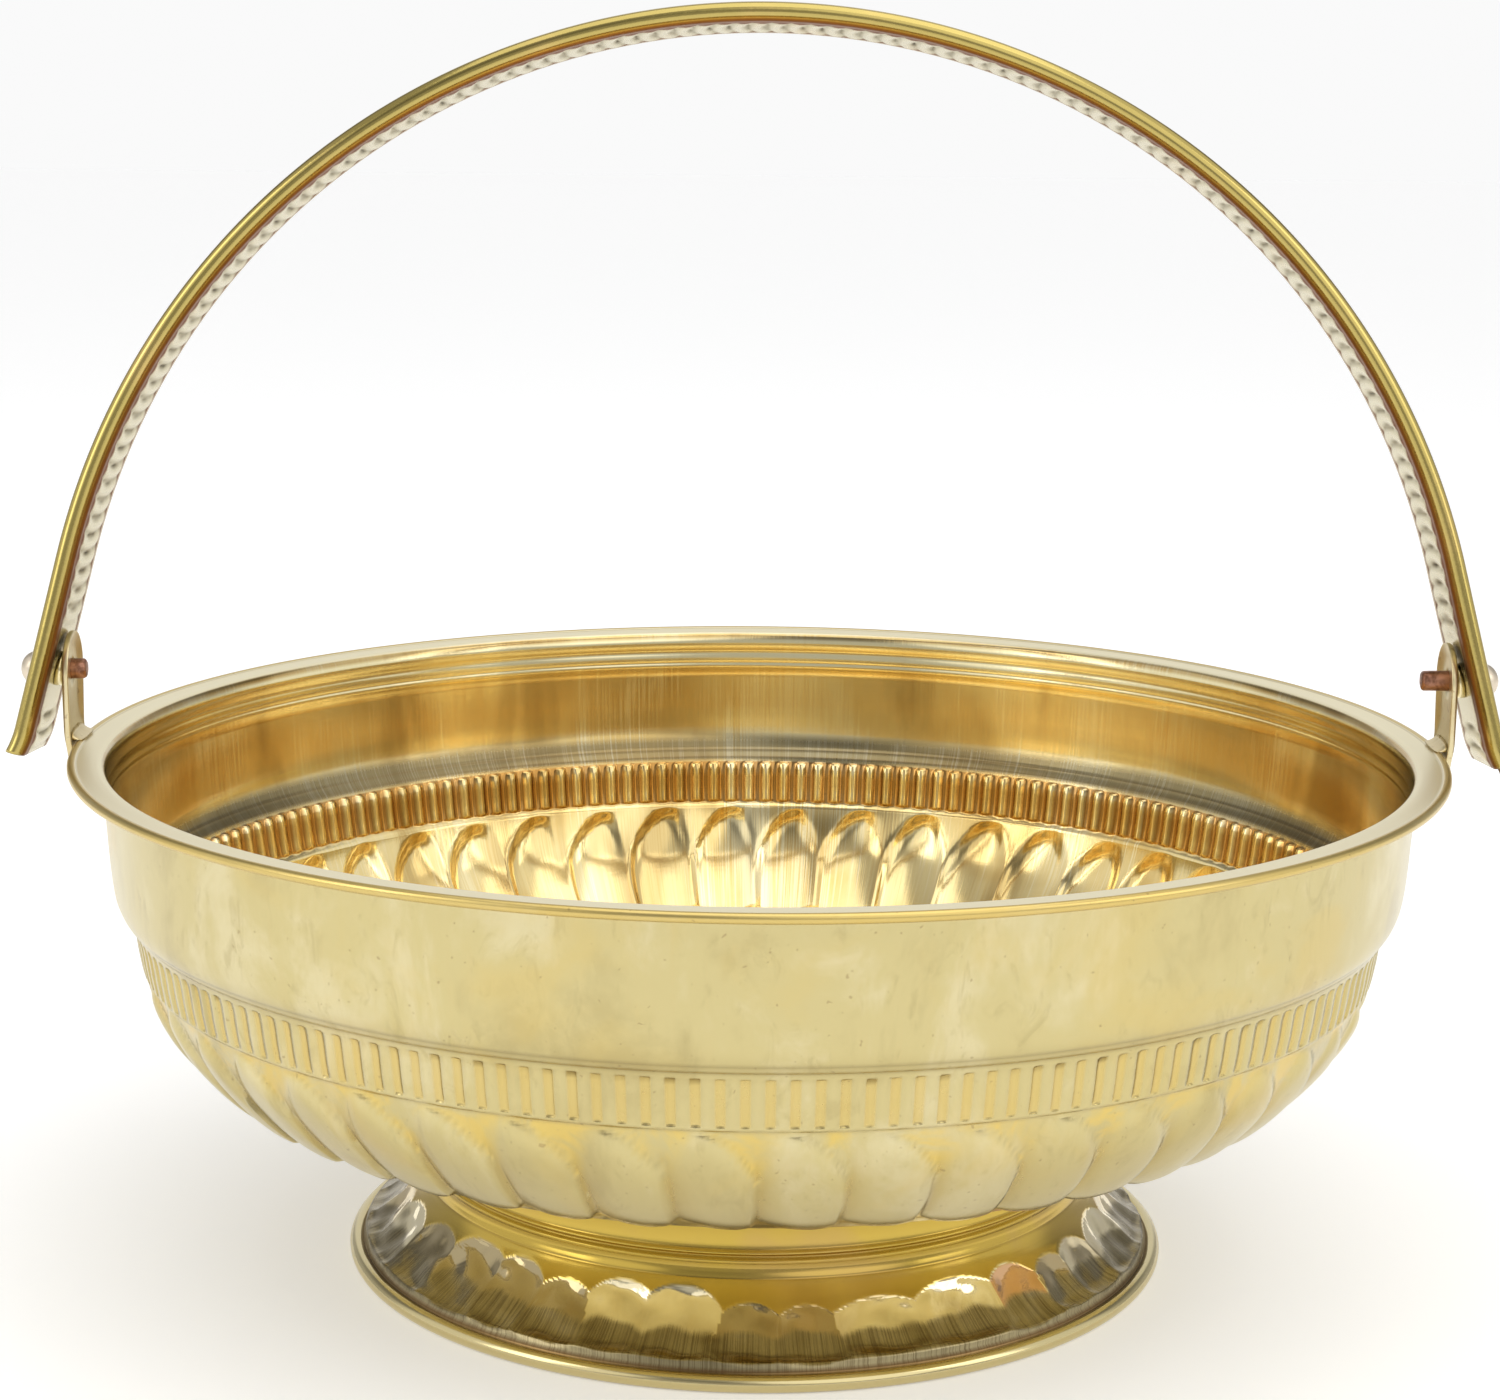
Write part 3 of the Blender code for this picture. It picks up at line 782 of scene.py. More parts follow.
# --------------------------------------------------------------------- bowl
@dataclass
class Bowl:
    """Spun bowl: petals below, a band of flutes, a step, a bulging wall and a flat lip."""

    rim_radius: float = 127.0
    lip_top: float = 97.10
    base: float = 26.5
    sheet: float = 0.80
    bead: float = 1.80
    flutes: int = 186
    flute_low: float = 59.8
    flute_high: float = 68.15
    flute_depth: float = 0.42
    petals: int = 48
    petal_low: float = 36.9
    petal_high: float = 58.6
    petal_depth: float = 1.25
    petal_apex: float = 0.46
    petal_steep: float = 0.70
    petal_shoulders: tuple[float, float] = (49.5, 47.5)
    petal_wall: float = 112.0
    step_low: float = 69.15
    step_high: float = 70.6
    curve: tuple[tuple[float, float], ...] = (
        (57.0, 26.5), (64.5, 27.9), (74.0, 30.3), (84.0, 32.9), (93.2, 35.7), (99.6, 38.5),
        (103.6, 41.7), (107.2, 45.5), (110.3, 49.5), (112.7, 54.0), (114.1, 58.0),
        (115.2, 63.0), (115.8, 67.0), (116.4, 68.7), (118.2, 71.1), (119.2, 73.7),
        (119.8, 78.5), (120.2, 84.5), (120.6, 90.5), (120.8, 95.4), (121.15, 96.3),
    )
    flute_columns: tuple[float, ...] = (0.0, 0.17, 0.255, 0.50, 0.745, 0.83)

    @property
    def bead_centre(self) -> tuple[float, float]:
        """Radius and height of the rim bead's centre."""
        return self.rim_radius - self.bead / 2.0, self.lip_top + 0.35 - self.bead / 2.0

    def angles(self) -> Array:
        """Angles of the columns, closer together at the flutes' sides."""
        whole = np.arange(self.flutes)[:, None] + np.array(self.flute_columns)[None, :]
        return (whole.reshape(-1) / self.flutes) * TURN

    @staticmethod
    def wall_rows() -> Array:
        """Heights of the rows from the underside to the lip, closer at sharp bends."""
        return np.concatenate([
            [26.6, 28.3, 30.6, 33.2, 35.0, 35.9], np.arange(36.3, 39.2, 0.4),
            np.arange(39.9, 57.1, 1.0), [57.6, 58.1, 58.5, 59.0],
            [59.5, 59.75, 60.0, 60.3, 61.6, 63.4, 65.2, 66.8, 67.7, 67.95, 68.2, 68.5],
            [68.95, 69.15, 69.35, 69.9, 70.4, 70.6, 70.8, 71.4, 72.2, 73.2, 74.5],
            [76.3, 78.5, 81.0, 84.0, 87.0, 88.9, 89.5, 90.0, 90.5, 91.1, 92.1, 93.2, 94.3,
             95.4],
        ])

    def petal_relief(self, rng: np.random.RandomState, theta: Array,
                     z: Array) -> tuple[Array, Array, Array, Array]:
        """Pressed petals: steep on one side, each a little different.

        Args:
            rng: source of each petal's own shape.
            theta: angles, rows x columns.
            z: heights, rows x columns.

        Returns:
            As relief.
        """
        lift = rng.uniform(-0.5, 0.5, self.petals)
        strength = rng.uniform(0.82, 1.12, self.petals)
        shift = rng.uniform(-0.035, 0.035, self.petals)
        high = np.clip((z - self.petal_low) / (self.petal_high - self.petal_low), -0.3, 1.2)
        turn = theta / TURN * self.petals - 0.07 * np.sin(math.pi * high) + 0.12 * high
        number = np.floor(turn).astype(int) % self.petals
        part = turn - np.floor(turn)
        u = np.clip(part + shift[number] * smoothstep(0.0, 0.3, 0.5 - np.abs(part - 0.5)),
                    0.0, 1.0)
        apex, steep, quarter = self.petal_apex, self.petal_steep, 0.5 * math.pi
        top = self.petal_high - 0.4 + lift[number]
        low_left, low_right = self.petal_shoulders
        left = low_left + (top - low_left) * np.sin(quarter * np.clip(u / apex, 0, 1)) ** 0.85
        right = low_right + (top - low_right) * np.cos(
            quarter * np.clip((u - apex) / (1 - apex), 0, 1)) ** 0.62
        arch = np.where(u < apex, left, right)
        width = TURN / self.petals * self.petal_wall
        slope = np.gradient(arch, axis=1) / np.maximum(
            np.abs(np.gradient(turn, axis=1)) * width, 1e-4)
        within = (arch - z) / np.sqrt(1.0 + np.clip(np.abs(slope), 0.0, 6.0) ** 2)
        rise = np.where(u < steep, 1.0 - (1.0 - u / steep) ** 2,
                        1.0 - 0.30 * ((u - steep) / (1.0 - steep)) ** 2)
        crisp = smoothstep(apex - 0.22, apex + 0.12, u)
        edge = ((1.0 - crisp) * smoothstep(-1.8, 2.4, within)
                + crisp * smoothstep(-0.55, 0.95, within))
        round_over = 1.0 - (1.0 - np.clip(within / 4.0, 0.0, 1.0)) ** 2
        foot_line = self.petal_low + 1.5 * np.abs(2.0 * u - 1.05) ** 2.4
        body = (rise * (1.0 - smoothstep(0.955, 1.0, u)) * (0.30 + 0.70 * round_over) * edge
                * strength[number] * (0.15 + 0.85 * smoothstep(-0.35, 0.9, z - foot_line)))
        out = (body - 0.55) * self.petal_depth * window(z, (35.6, 36.4), (58.6, 59.6))
        hollow = np.clip((1.0 - edge) * window(z, (44.0, 48.0), (58.2, 59.4)), 0.0, 1.0)
        # Painted shade: seam is the shadowed boundary between petals, outline the crisp edges,
        # under the line below each petal's foot, and the valley the low left side of each petal
        seam = (window(u, (0.93, 0.985), (0.985, 1.0)) * smoothstep(37.5, 39.5, z)
                * smoothstep(-0.5, 1.0, arch - z))
        outline = crisp * np.exp(-((within + 0.15) / 0.35) ** 2) * window(
            z, (46.0, 50.0), (58.0, 58.8))
        under = ridge(z - foot_line, -0.45, 0.5) * (1.0 - smoothstep(0.0, 0.2, z - 44.0))
        valley_shade = np.exp(-u / 0.13) * window(z, (38.5, 41.0), (48.0, 56.0))
        sunk = np.clip(0.5 * seam + 0.75 * valley_shade, 0.0, 1.0)
        dark = np.clip(0.30 * seam + 0.20 * outline + 0.60 * under + 0.32 * valley_shade, 0.0, 1.0)
        return out, sunk, dark, hollow

    def relief(self, theta: Array, z: Array) -> tuple[Array, Array, Array, Array]:
        """Pressed pattern of the wall: petals, flutes, the step and a slight wobble.

        Args:
            theta: angles, rows x columns.
            z: heights, rows x columns.

        Returns:
            Outward offset in millimetres, sunken share (gold of the hollows, and painted shade
            in the petals' valleys and seams), dark-line share (painted shade) and the share of
            the hollows between the petals' tops.
        """
        rng = np.random.RandomState(11)
        out, sunk, dark, hollow = self.petal_relief(rng, theta, z)
        phase = theta / TURN * self.flutes
        v = np.abs(phase - np.round(phase))
        band = window(z, (self.flute_low - 0.2, self.flute_low + 0.25),
                      (self.flute_high - 0.3, self.flute_high + 0.1))
        groove = 1.0 - smoothstep(0.165, 0.26, v)
        number = np.round(phase).astype(int) % self.flutes
        deep = rng.uniform(0.72, 1.15, self.flutes)[number]
        pit = rng.uniform(0.0, 1.0, self.flutes)[number] ** 3
        wobble = 0.10 * np.sin(3.0 * theta + 0.7) + 0.06 * np.sin(7.0 * theta + 0.11 * z)
        out = (out - self.flute_depth * groove * band * deep
               - 0.10 * ridge(z, self.step_low, 0.35) - 0.10 * ridge(z, self.step_high, 0.35)
               + wobble * window(z, (71.0, 76.0), (90.0, 95.0)))
        sunk = np.maximum(sunk, groove * band * 0.75)
        # Painted shade at the flute ribs' edges and in the step's grooves; some grooves are
        # also darker at their tops
        dark = (dark + groove * ridge(z, self.flute_high - 0.5, 0.9) * pit * 0.8
                + 0.22 * ridge(v, 0.215, 0.06) * band
                + 0.30 * ridge(z, self.step_low, 0.4) + 0.34 * ridge(z, self.step_high, 0.4))
        return out, sunk, np.clip(dark, 0.0, 1.0), hollow

    def wall(self, offset: Callable[[Array, Array], Array]) -> tuple[Array, list[Array]]:
        """Points of the wall.

        Args:
            offset: way outwards from the sheet's outer face, by heights, rows x 1, and
                by relief, rows x columns.

        Returns:
            The points from the underside up, and what relief returns.
        """
        theta, z = self.angles(), self.wall_rows()[:, None]
        radii, heights = zip(*self.curve)
        r = monotone(heights, radii, z[:, 0])
        nr, nz = (part[:, None] for part in normals_of(r, z[:, 0]))
        pattern = self.relief(*np.broadcast_arrays(theta, z))
        out = offset(z, pattern[0])
        return turned(r[:, None] + nr * out, z + nz * out, theta), list(pattern)

    def outside(self) -> None:
        """Build the outer face with the lip's underside and the hem."""
        theta = self.angles()
        wall, (_, sunk, dark, hollow) = self.wall(lambda z, out: out)
        floor = turned(np.array([[1.0], [30.0], [56.0]]), self.base, theta)
        bead_r, bead_z = bead_points(self.bead_centre, self.bead / 2.0,
                                     (215, 248, 281, 314, 347, 20, 55, 90, 125))
        lip = turned(np.concatenate([[121.2, 123.0, 125.0], bead_r])[:, None],
                     np.concatenate([[96.3, 96.3, 96.3], bead_z])[:, None], theta)
        cols = len(theta)
        masks = {"sunk": blocks(cols, (3, 0), sunk, (5, 0), (7, 0.9)),
                 # dark on the bead's lower rows: painted shade under the lip
                 "dark": blocks(cols, (3, 0), dark, (5, 0.50), (7, 0)),
                 "hollow": blocks(cols, (3, 0), hollow, (12, 0))}
        Piece("bowl_outside", Body.BASKET, "bowl", BowlBrass("bowl_brass")).from_grid(
            np.concatenate([floor, wall, lip], 0), masks, caps=(True, False))

    def inside(self) -> None:
        """Build the lip's top, the inner wall and the floor."""
        theta, z = self.angles(), self.wall_rows()[:, None]
        flute_zone = window(z, (59.2, 60.0), (68.2, 68.6))

        def inward(z: Array, out: Array) -> Array:
            """Follow the relief a sheet further in, with sharper flutes and turned rings."""
            rings = 0.26 * ridge(z, 89.6, 0.7) + 0.22 * np.sin((z - 90.2) * 1.9) * window(
                z, (90.2, 90.8), (94.4, 95.4))
            return -(self.sheet - out * (1.0 + 0.9 * flute_zone) + rings)

        wall, (_, sunk, dark, _) = self.wall(inward)
        bead_r, bead_z = bead_points(self.bead_centre, self.bead / 2.0, (125,))
        lip_r = [*bead_r, 125.35, 125.05, 123.2, 121.9, 121.3, 120.85, 120.45, 120.15]
        lip_z = [*bead_z, 97.12, 97.10, 97.10, 97.10, 97.05, 96.9, 96.6, 96.1]
        lip = turned(np.array(lip_r)[:, None], np.array(lip_z)[:, None], theta)
        floor = turned(np.array([[56.5], [30.0], [1.0]]), self.base + self.sheet, theta)

        def mask(share: Array, floor_share: float = 0.0,
                 lip_shares: Sequence[tuple[int, float]] = ((9, 0),)) -> Array:
            """Lay a share of the wall between those of the lip and the floor."""
            return blocks(len(theta), *lip_shares, share[::-1], (3, floor_share))

        masks = {
            "sunk": mask(np.clip(flute_zone - sunk * 1.3, 0.0, 1.0)),
            # dark: the outer wall's painted shade lines, and painted shade at the lip's inner
            # edge where it turns down
            "dark": mask(0.6 * dark * (1 - flute_zone),
                         lip_shares=((1, 0), (1, 0.30), (5, 0), (2, 0.45))),
            "shelf": mask(window(z, (68.2, 69.0), (72.6, 74.2))),
            "lip": mask(0.0 * z, lip_shares=((7, 1.0), (2, 0))),
            "brow": mask(smoothstep(87.5, 90.5, z)),
            "floor": mask(1.0 - smoothstep(33.0, 41.0, z), 1.0),
        }
        Piece("bowl_inside", Body.BASKET, "bowl", InnerBrass("bowl_inner_brass")).from_grid(
            np.concatenate([lip, wall[::-1], floor], 0), masks, caps=(False, True))

    def build(self) -> None:
        """Build both faces of the bowl."""
        self.outside()
        self.inside()


# --------------------------------------------------------------------- foot
@dataclass
class Foot:
    """Spun foot with hammered facets, a rolled edge round a wire, and its solder."""

    neck: float = 61.2
    edge_radius: float = 77.4
    bead: float = 3.10
    wire_radius: float = 0.72
    sheet_in: float = 0.62
    columns: int = 900
    facets: int = 34
    facet_depth: float = 1.15
    facet_middle: float = 8.9
    facet_half_height: float = 4.5
    outline: tuple[tuple[float, float], ...] = (
        (4.4, 13.25), (5.9, 11.7), (8.0, 8.8), (10.4, 5.6), (12.8, 3.1), (15.2, 1.5),
        (17.3, 0.85), (18.2, 1.0), (18.9, 0.35), (19.5, 0.75), (20.2, 0.3), (23.0, 0.0),
        (26.8, 0.0))
    lines: tuple[tuple[float, float, float], ...] = (
        (15.25, 0.30, 0.4), (18.85, 0.38, 0.35), (17.1, 0.30, 0.4), (20.1, 0.30, 0.35))
    # Painted reflections of facets, fixed by angle: from, to, value
    known_reflections: tuple[tuple[float, float, float], ...] = (
        (3.45, 4.25, 0.20), (4.25, 4.68, 0.80), (4.68, 4.87, 0.10), (4.87, 5.34, 0.85),
        (5.34, 5.52, 1.00), (5.52, 5.72, 0.15))

    @property
    def bead_centre(self) -> tuple[float, float]:
        """Radius and height of the rolled edge's centre."""
        return self.edge_radius - self.bead / 2.0, self.bead / 2.0

    def facet_centres(self) -> tuple[Array, Array]:
        """Draw the facets' widths.

        Returns:
            Centres and widths in radians.
        """
        width = np.random.RandomState(5).uniform(0.72, 1.28, self.facets)
        width = width / width.sum() * TURN
        return np.cumsum(width) - 0.5 * width, width

    def dents(self, theta: Array, z: Array) -> tuple[Array, Array]:
        """Inward depth of the facets.

        Args:
            theta: angles, rows x columns.
            z: heights, rows x columns.

        Returns:
            Offsets in millimetres, zero or less, and each facet's painted reflection.
        """
        rng = np.random.RandomState(9)
        depth, facet_reflection = np.zeros_like(theta), np.full_like(theta, 0.5)
        for centre, width in zip(*self.facet_centres()):
            middle = self.facet_middle + rng.uniform(-0.45, 0.45)
            tall = self.facet_half_height * rng.uniform(0.9, 1.08)
            deep = self.facet_depth * rng.uniform(0.85, 1.15)
            tilt = rng.uniform(-0.22, 0.22)
            pitch = rng.uniform(-0.25, 0.55)
            away = (theta - centre + math.pi) % TURN - math.pi
            x, y = away / (0.60 * width), (z - middle) / tall
            fall = (y + 0.55) / np.where(y > -0.55, 1.55, 0.45)
            pan = -deep * (1.0 - 0.60 * x**2 - fall**2) + tilt * x + pitch * (y + 0.4)
            near = (np.abs(away) < 0.75 * width) & (pan < depth)
            depth = np.where(near, pan, depth)
            facet_reflection = np.where(near, self.reflection_at(centre, rng.uniform(0.0, 1.0)), facet_reflection)
        uneven = (0.11 * np.sin(37 * theta + 0.9 * z + 1.3)
                  + 0.08 * np.sin(61 * theta - 0.7 * z + 0.4)
                  + 0.07 * np.sin(23 * theta + 1.4 * z))
        depth = depth + uneven * smoothstep(0.05, 0.5, -depth)
        return depth * window(z, (3.9, 4.7), (13.0, 14.2)), facet_reflection

    def reflection_at(self, angle: float, drawn: float) -> float:
        """Painted reflection of one facet: dark bronze, plain, pale highlight or copper.

        Args:
            angle: the facet's centre in radians.
            drawn: the painted reflection it has where nothing is known.

        Returns:
            Below 0.3 bronze, above 0.66 pale, above 0.95 copper.
        """
        for low, high, facet_reflection in self.known_reflections:
            if low < angle < high:
                return facet_reflection
        return min(drawn, 0.90)

    def outside_rows(self) -> tuple[Array, Array]:
        """Run down the foot's outside from the neck to the rolled edge.

        Returns:
            Radii and heights.
        """
        heights, steps = zip(*self.outline)
        z = np.concatenate([
            [26.6, 25.0, 23.4, 22.0, 21.0, 20.4], np.linspace(20.1, 17.1, 16),
            [16.6, 16.1, 15.7, 15.45, 15.25, 15.05, 14.85, 14.5, 14.0],
            np.linspace(13.6, 4.5, 32)])
        return monotone(heights, self.neck + np.array(steps), z), z

    def shell(self) -> None:
        """Build the foot's sheet: outside down, round the roll and up the inside."""
        theta = around(self.columns)
        r, z = (part[:, None] for part in self.outside_rows())
        nr, nz = (-part[:, None] for part in normals_of(r[:, 0], z[:, 0]))
        dent, facet_reflection = self.dents(*np.broadcast_arrays(theta, z))
        off = dent - 0.08 * ridge(z, 15.25, 0.35)
        roll_r, roll_z = bead_points(self.bead_centre, self.bead / 2.0, (
            152, 128, 104, 80, 56, 32, 8, -16, -40, -64, -90, -116, -142, -168, -194, -214))
        roll = turned(np.concatenate([[74.2, 74.75], roll_r])[:, None],
                      np.concatenate([[3.65, 3.15], roll_z])[:, None], theta)
        back = dent[::-4] - self.sheet_in
        lining = turned(r[::-4] + nr[::-4] * back, z[::-4] + nz[::-4] * back, theta)
        # Darker towards the neck's top, and painted reflection lines along the outline's steps
        line = 0.45 * smoothstep(24.5, 26.2, z)
        for height, share, half in self.lines:
            line = line + share * ridge(z, height, half)
        cols, rolled, lined = len(theta), len(roll_r), len(back)
        masks = {
            "bead": blocks(cols, (len(z) + 2, 0), (rolled, 1.0), (lined, 0)),
            "facet_reflection": blocks(cols, facet_reflection, (2 + rolled + lined, 0.5)),
            "dent": blocks(cols, smoothstep(0.02, 0.10, -dent), (2 + rolled + lined, 0)),
            "skirt": blocks(cols, 1.0 - smoothstep(5.6, 6.8, z + 2.6 * dent), (2, 1.0),
                            (rolled + lined, 0)),
            # dark on the rolled edge's first rows: painted shade in the crease above it
            "dark": blocks(cols, line, (1, 0), (2, 0.75), (rolled + lined - 1, 0)),
        }
        outer = turned(r + nr * off, z + nz * off, theta)
        Piece("foot_shell", Body.BASKET, "foot", FootBrass("foot_brass")).from_grid(
            np.concatenate([outer, roll, lining], 0), masks, wrap_rows=True)

    def wire(self) -> None:
        """Build the iron wire inside the rolled edge."""
        r, z = bead_points(self.bead_centre, self.wire_radius, np.degrees(around(12)))
        Piece("foot_edge_wire", Body.BASKET, "foot_wire", WireSteel("wire_iron")).from_grid(
            turned(r[:, None], z[:, None], around(240)), wrap_rows=True)

    def solder(self) -> None:
        """Build the uneven fillet between the neck and the bowl."""
        theta = around(360)
        wave = 0.10 * np.sin(9 * theta) + 0.07 * np.sin(23 * theta + 1.0)
        section = np.array(((0.0, 24.7, 0.0), (0.25, 25.2, 0.4), (0.75, 26.1, 0.8),
                            (1.8, 27.2, 1.0), (1.7, 27.45, 0.3), (0.0, 27.15, 0.0)))
        out, z, share = (part[:, None] for part in section.T)
        Piece("foot_solder", Body.BASKET, "foot_solder_ring", SOLDER).from_grid(
            turned(self.neck + 0.35 + out + 0.6 * wave * share, z, theta), wrap_rows=True)

    def build(self) -> None:
        """Build the foot, its wire and its solder ring."""
        self.shell()
        self.wire()
        self.solder()


# --------------------------------------------------------------------- lugs
@dataclass
class Pivot:
    """Sizes shared by the lugs, the rivets and the handle."""

    height: float = 110.0
    lean_deg: float = -5.8
    slope: float = math.tan(math.radians(14.0))
    tube_x: float = 132.52
    tube_r: float = 1.80
    half_spacing: float = 9.2
    sheet: float = 0.50
    web_inner: float = 130.665
    web_outer: float = 131.18
    tube_outer: float = 134.375
    ear_outer: float = 129.307
    ear_sheet: float = 1.10
    washer_inner: float = 129.457

    def stand(self, points: Array) -> Array:
        """Lean points that were built about the pivot axis, and lift them.

        Args:
            points: any array of x, y, z about the pivot.

        Returns:
            The points as they stand.
        """
        turn = math.radians(self.lean_deg)
        y = points[..., 1] * math.cos(turn) - points[..., 2] * math.sin(turn)
        z = points[..., 1] * math.sin(turn) + points[..., 2] * math.cos(turn)
        return np.stack([points[..., 0], y, z + self.height], -1)


@dataclass
class Lugs:
    """Bent and dished straps that carry the handle, soldered to the lip."""

    pivot: Pivot
    half_width: float = 7.1
    foot_half_width: float = 6.2
    top_above: float = 7.1
    bottom: float = 93.4
    lip_top: float = 97.10
    rim_radius: float = 127.0
    hole: float = 1.99
    round_edge: float = 0.32
    clearance: float = 0.27
    solder_top: float = 0.43
    solder_height: float = 1.7
    shares: tuple[float, ...] = (0.0, 0.12, 0.26, 0.42, 0.58, 0.74, 0.88, 1.0)
    edge: tuple[tuple[float, float], ...] = (
        (0.55, 0.10), (0.9, 0.25), (1.0, 0.55), (1.0, 0.78), (0.9, 0.95), (0.55, 1.0))

    def strap_x(self, z: Array) -> Array:
        """Outer face of the strap.

        Args:
            z: heights.

        Returns:
            Distances from the middle of the bowl.
        """
        low = self.rim_radius + 0.16 + self.pivot.ear_sheet + 0.15
        span = self.pivot.ear_outer - low
        zs = np.array([-3.7, -2.1, -0.5, 0.9, 2.7, 4.9, 7.0]) + self.lip_top
        xs = np.array([low - 0.30, low - 0.15, low, low + 0.30 * span, low + 0.72 * span,
                       low + 0.95 * span, self.pivot.ear_outer])
        return monotone(zs, xs, np.clip(z, zs[0], zs[-1]))

    def swept_x(self, y: Array, z: Array) -> Array:
        """Furthest-in place of the swinging strip.

        Args:
            y: places along the rim.
            z: heights.

        Returns:
            Distances from the middle of the bowl.
        """
        best = np.full_like(y, 1.0e3)
        reach = self.pivot.half_spacing + self.pivot.tube_r + 0.3
        dz = z - self.pivot.height
        for step in range(-92, 93, 2):
            turn = math.radians(step)
            up = -y * math.sin(turn) + dz * math.cos(turn)
            across = y * math.cos(turn) + dz * math.sin(turn)
            face = self.pivot.web_inner - self.pivot.slope * up
            best = np.where(np.abs(across) <= reach, np.minimum(best, face), best)
        return best

    def outer_x(self, y: Array, z: Array) -> Array:
        """Outer face, dished so that the strip swings past it."""
        return np.minimum(self.strap_x(z), self.swept_x(y, z) - self.clearance)

    def inside(self, y: float, z: float) -> bool:
        """Whether a point lies within the lug's outline.

        Args:
            y: place along the rim.
            z: height.

        Returns:
            True inside the outline.
        """
        dz = z - self.pivot.height
        if dz > 0.0:
            return (y / self.half_width) ** 2 + (dz / self.top_above) ** 2 < 1.0
        if z < self.bottom:
            return False
        t = -dz / (self.pivot.height - self.bottom)
        width = self.half_width + (self.foot_half_width - self.half_width) * t
        corner = max(0.0, 1.6 - (z - self.bottom))
        return abs(y) < width - 0.45 * corner**2

    def reach(self, turn: float) -> float:
        """Distance from the pivot to the outline in one direction.

        Args:
            turn: the direction in radians, from the rim's run upwards.

        Returns:
            The distance.
        """
        low, high = self.hole, 20.0
        for _ in range(26):
            mid = 0.5 * (low + high)
            if self.inside(mid * math.cos(turn), self.pivot.height + mid * math.sin(turn)):
                low = mid
            else:
                high = mid
        return low

    def build(self) -> None:
        """Build both lugs and their solder."""
        turns = around(120)
        rim = np.array([self.reach(turn) for turn in turns]) - self.round_edge
        face = [self.hole + (rim - self.hole) * share for share in self.shares]
        sheet = self.pivot.ear_sheet
        rings = ([(dist, 0.0) for dist in face]
                 + [(rim + grow * self.round_edge, sink * sheet) for grow, sink in self.edge]
                 + [(dist, sheet) for dist in face[::-1]])
        dist = np.array([ring[0] for ring in rings])
        depth = np.array([ring[1] for ring in rings])[:, None]
        y, z = dist * np.cos(turns), self.pivot.height + dist * np.sin(turns)
        x = self.outer_x(y, z) - depth
        finish = CastBrass("lug_brass", base=(0.76, 0.66, 0.40), worn=(0.62, 0.46, 0.20),
                           rough=0.34)
        for side in Side:
            Piece(f"lug_{side.label}", Body.BASKET, f"ear_{side.label}", finish).from_grid(
                np.stack([side.value * x, y, z], -1), wrap_rows=True)
            self.solder(side)

    def solder(self, side: Side) -> None:
        """Build the lumpy fillet between one lug and the lip.

        Args:
            side: which end of the pivot axis.
        """
        top = self.lip_top + self.solder_top
        foot_x = self.rim_radius - 0.9
        up, down = np.linspace(0.0, 1.0, 5), np.linspace(0.2, 1.0, 6)
        rng = np.random.RandomState(21 if side is Side.LEFT else 22)
        rows = []
        for y in np.linspace(-5.4, 5.4, 25):
            full = math.sqrt(max(1.0 - (abs(y) / 5.6) ** 4, 0.05)) * rng.uniform(0.92, 1.05)
            z = top + self.solder_height * full * np.concatenate([up, (1.0 - down) ** 1.9])
            rise = self.outer_x(np.full_like(up, y), z[:5]) - self.pivot.ear_sheet - 0.10
            fall = rise[-1] + (foot_x - 0.9 * full - rise[-1]) * down
            x = side.value * np.concatenate([rise, fall])
            rows.append(np.stack([x, np.full_like(x, y), z], -1))
        Piece(f"lug_solder_{side.label}", Body.BASKET, f"ear_solder_{side.label}",
              SOLDER).from_grid(np.array(rows), caps=(True, True))


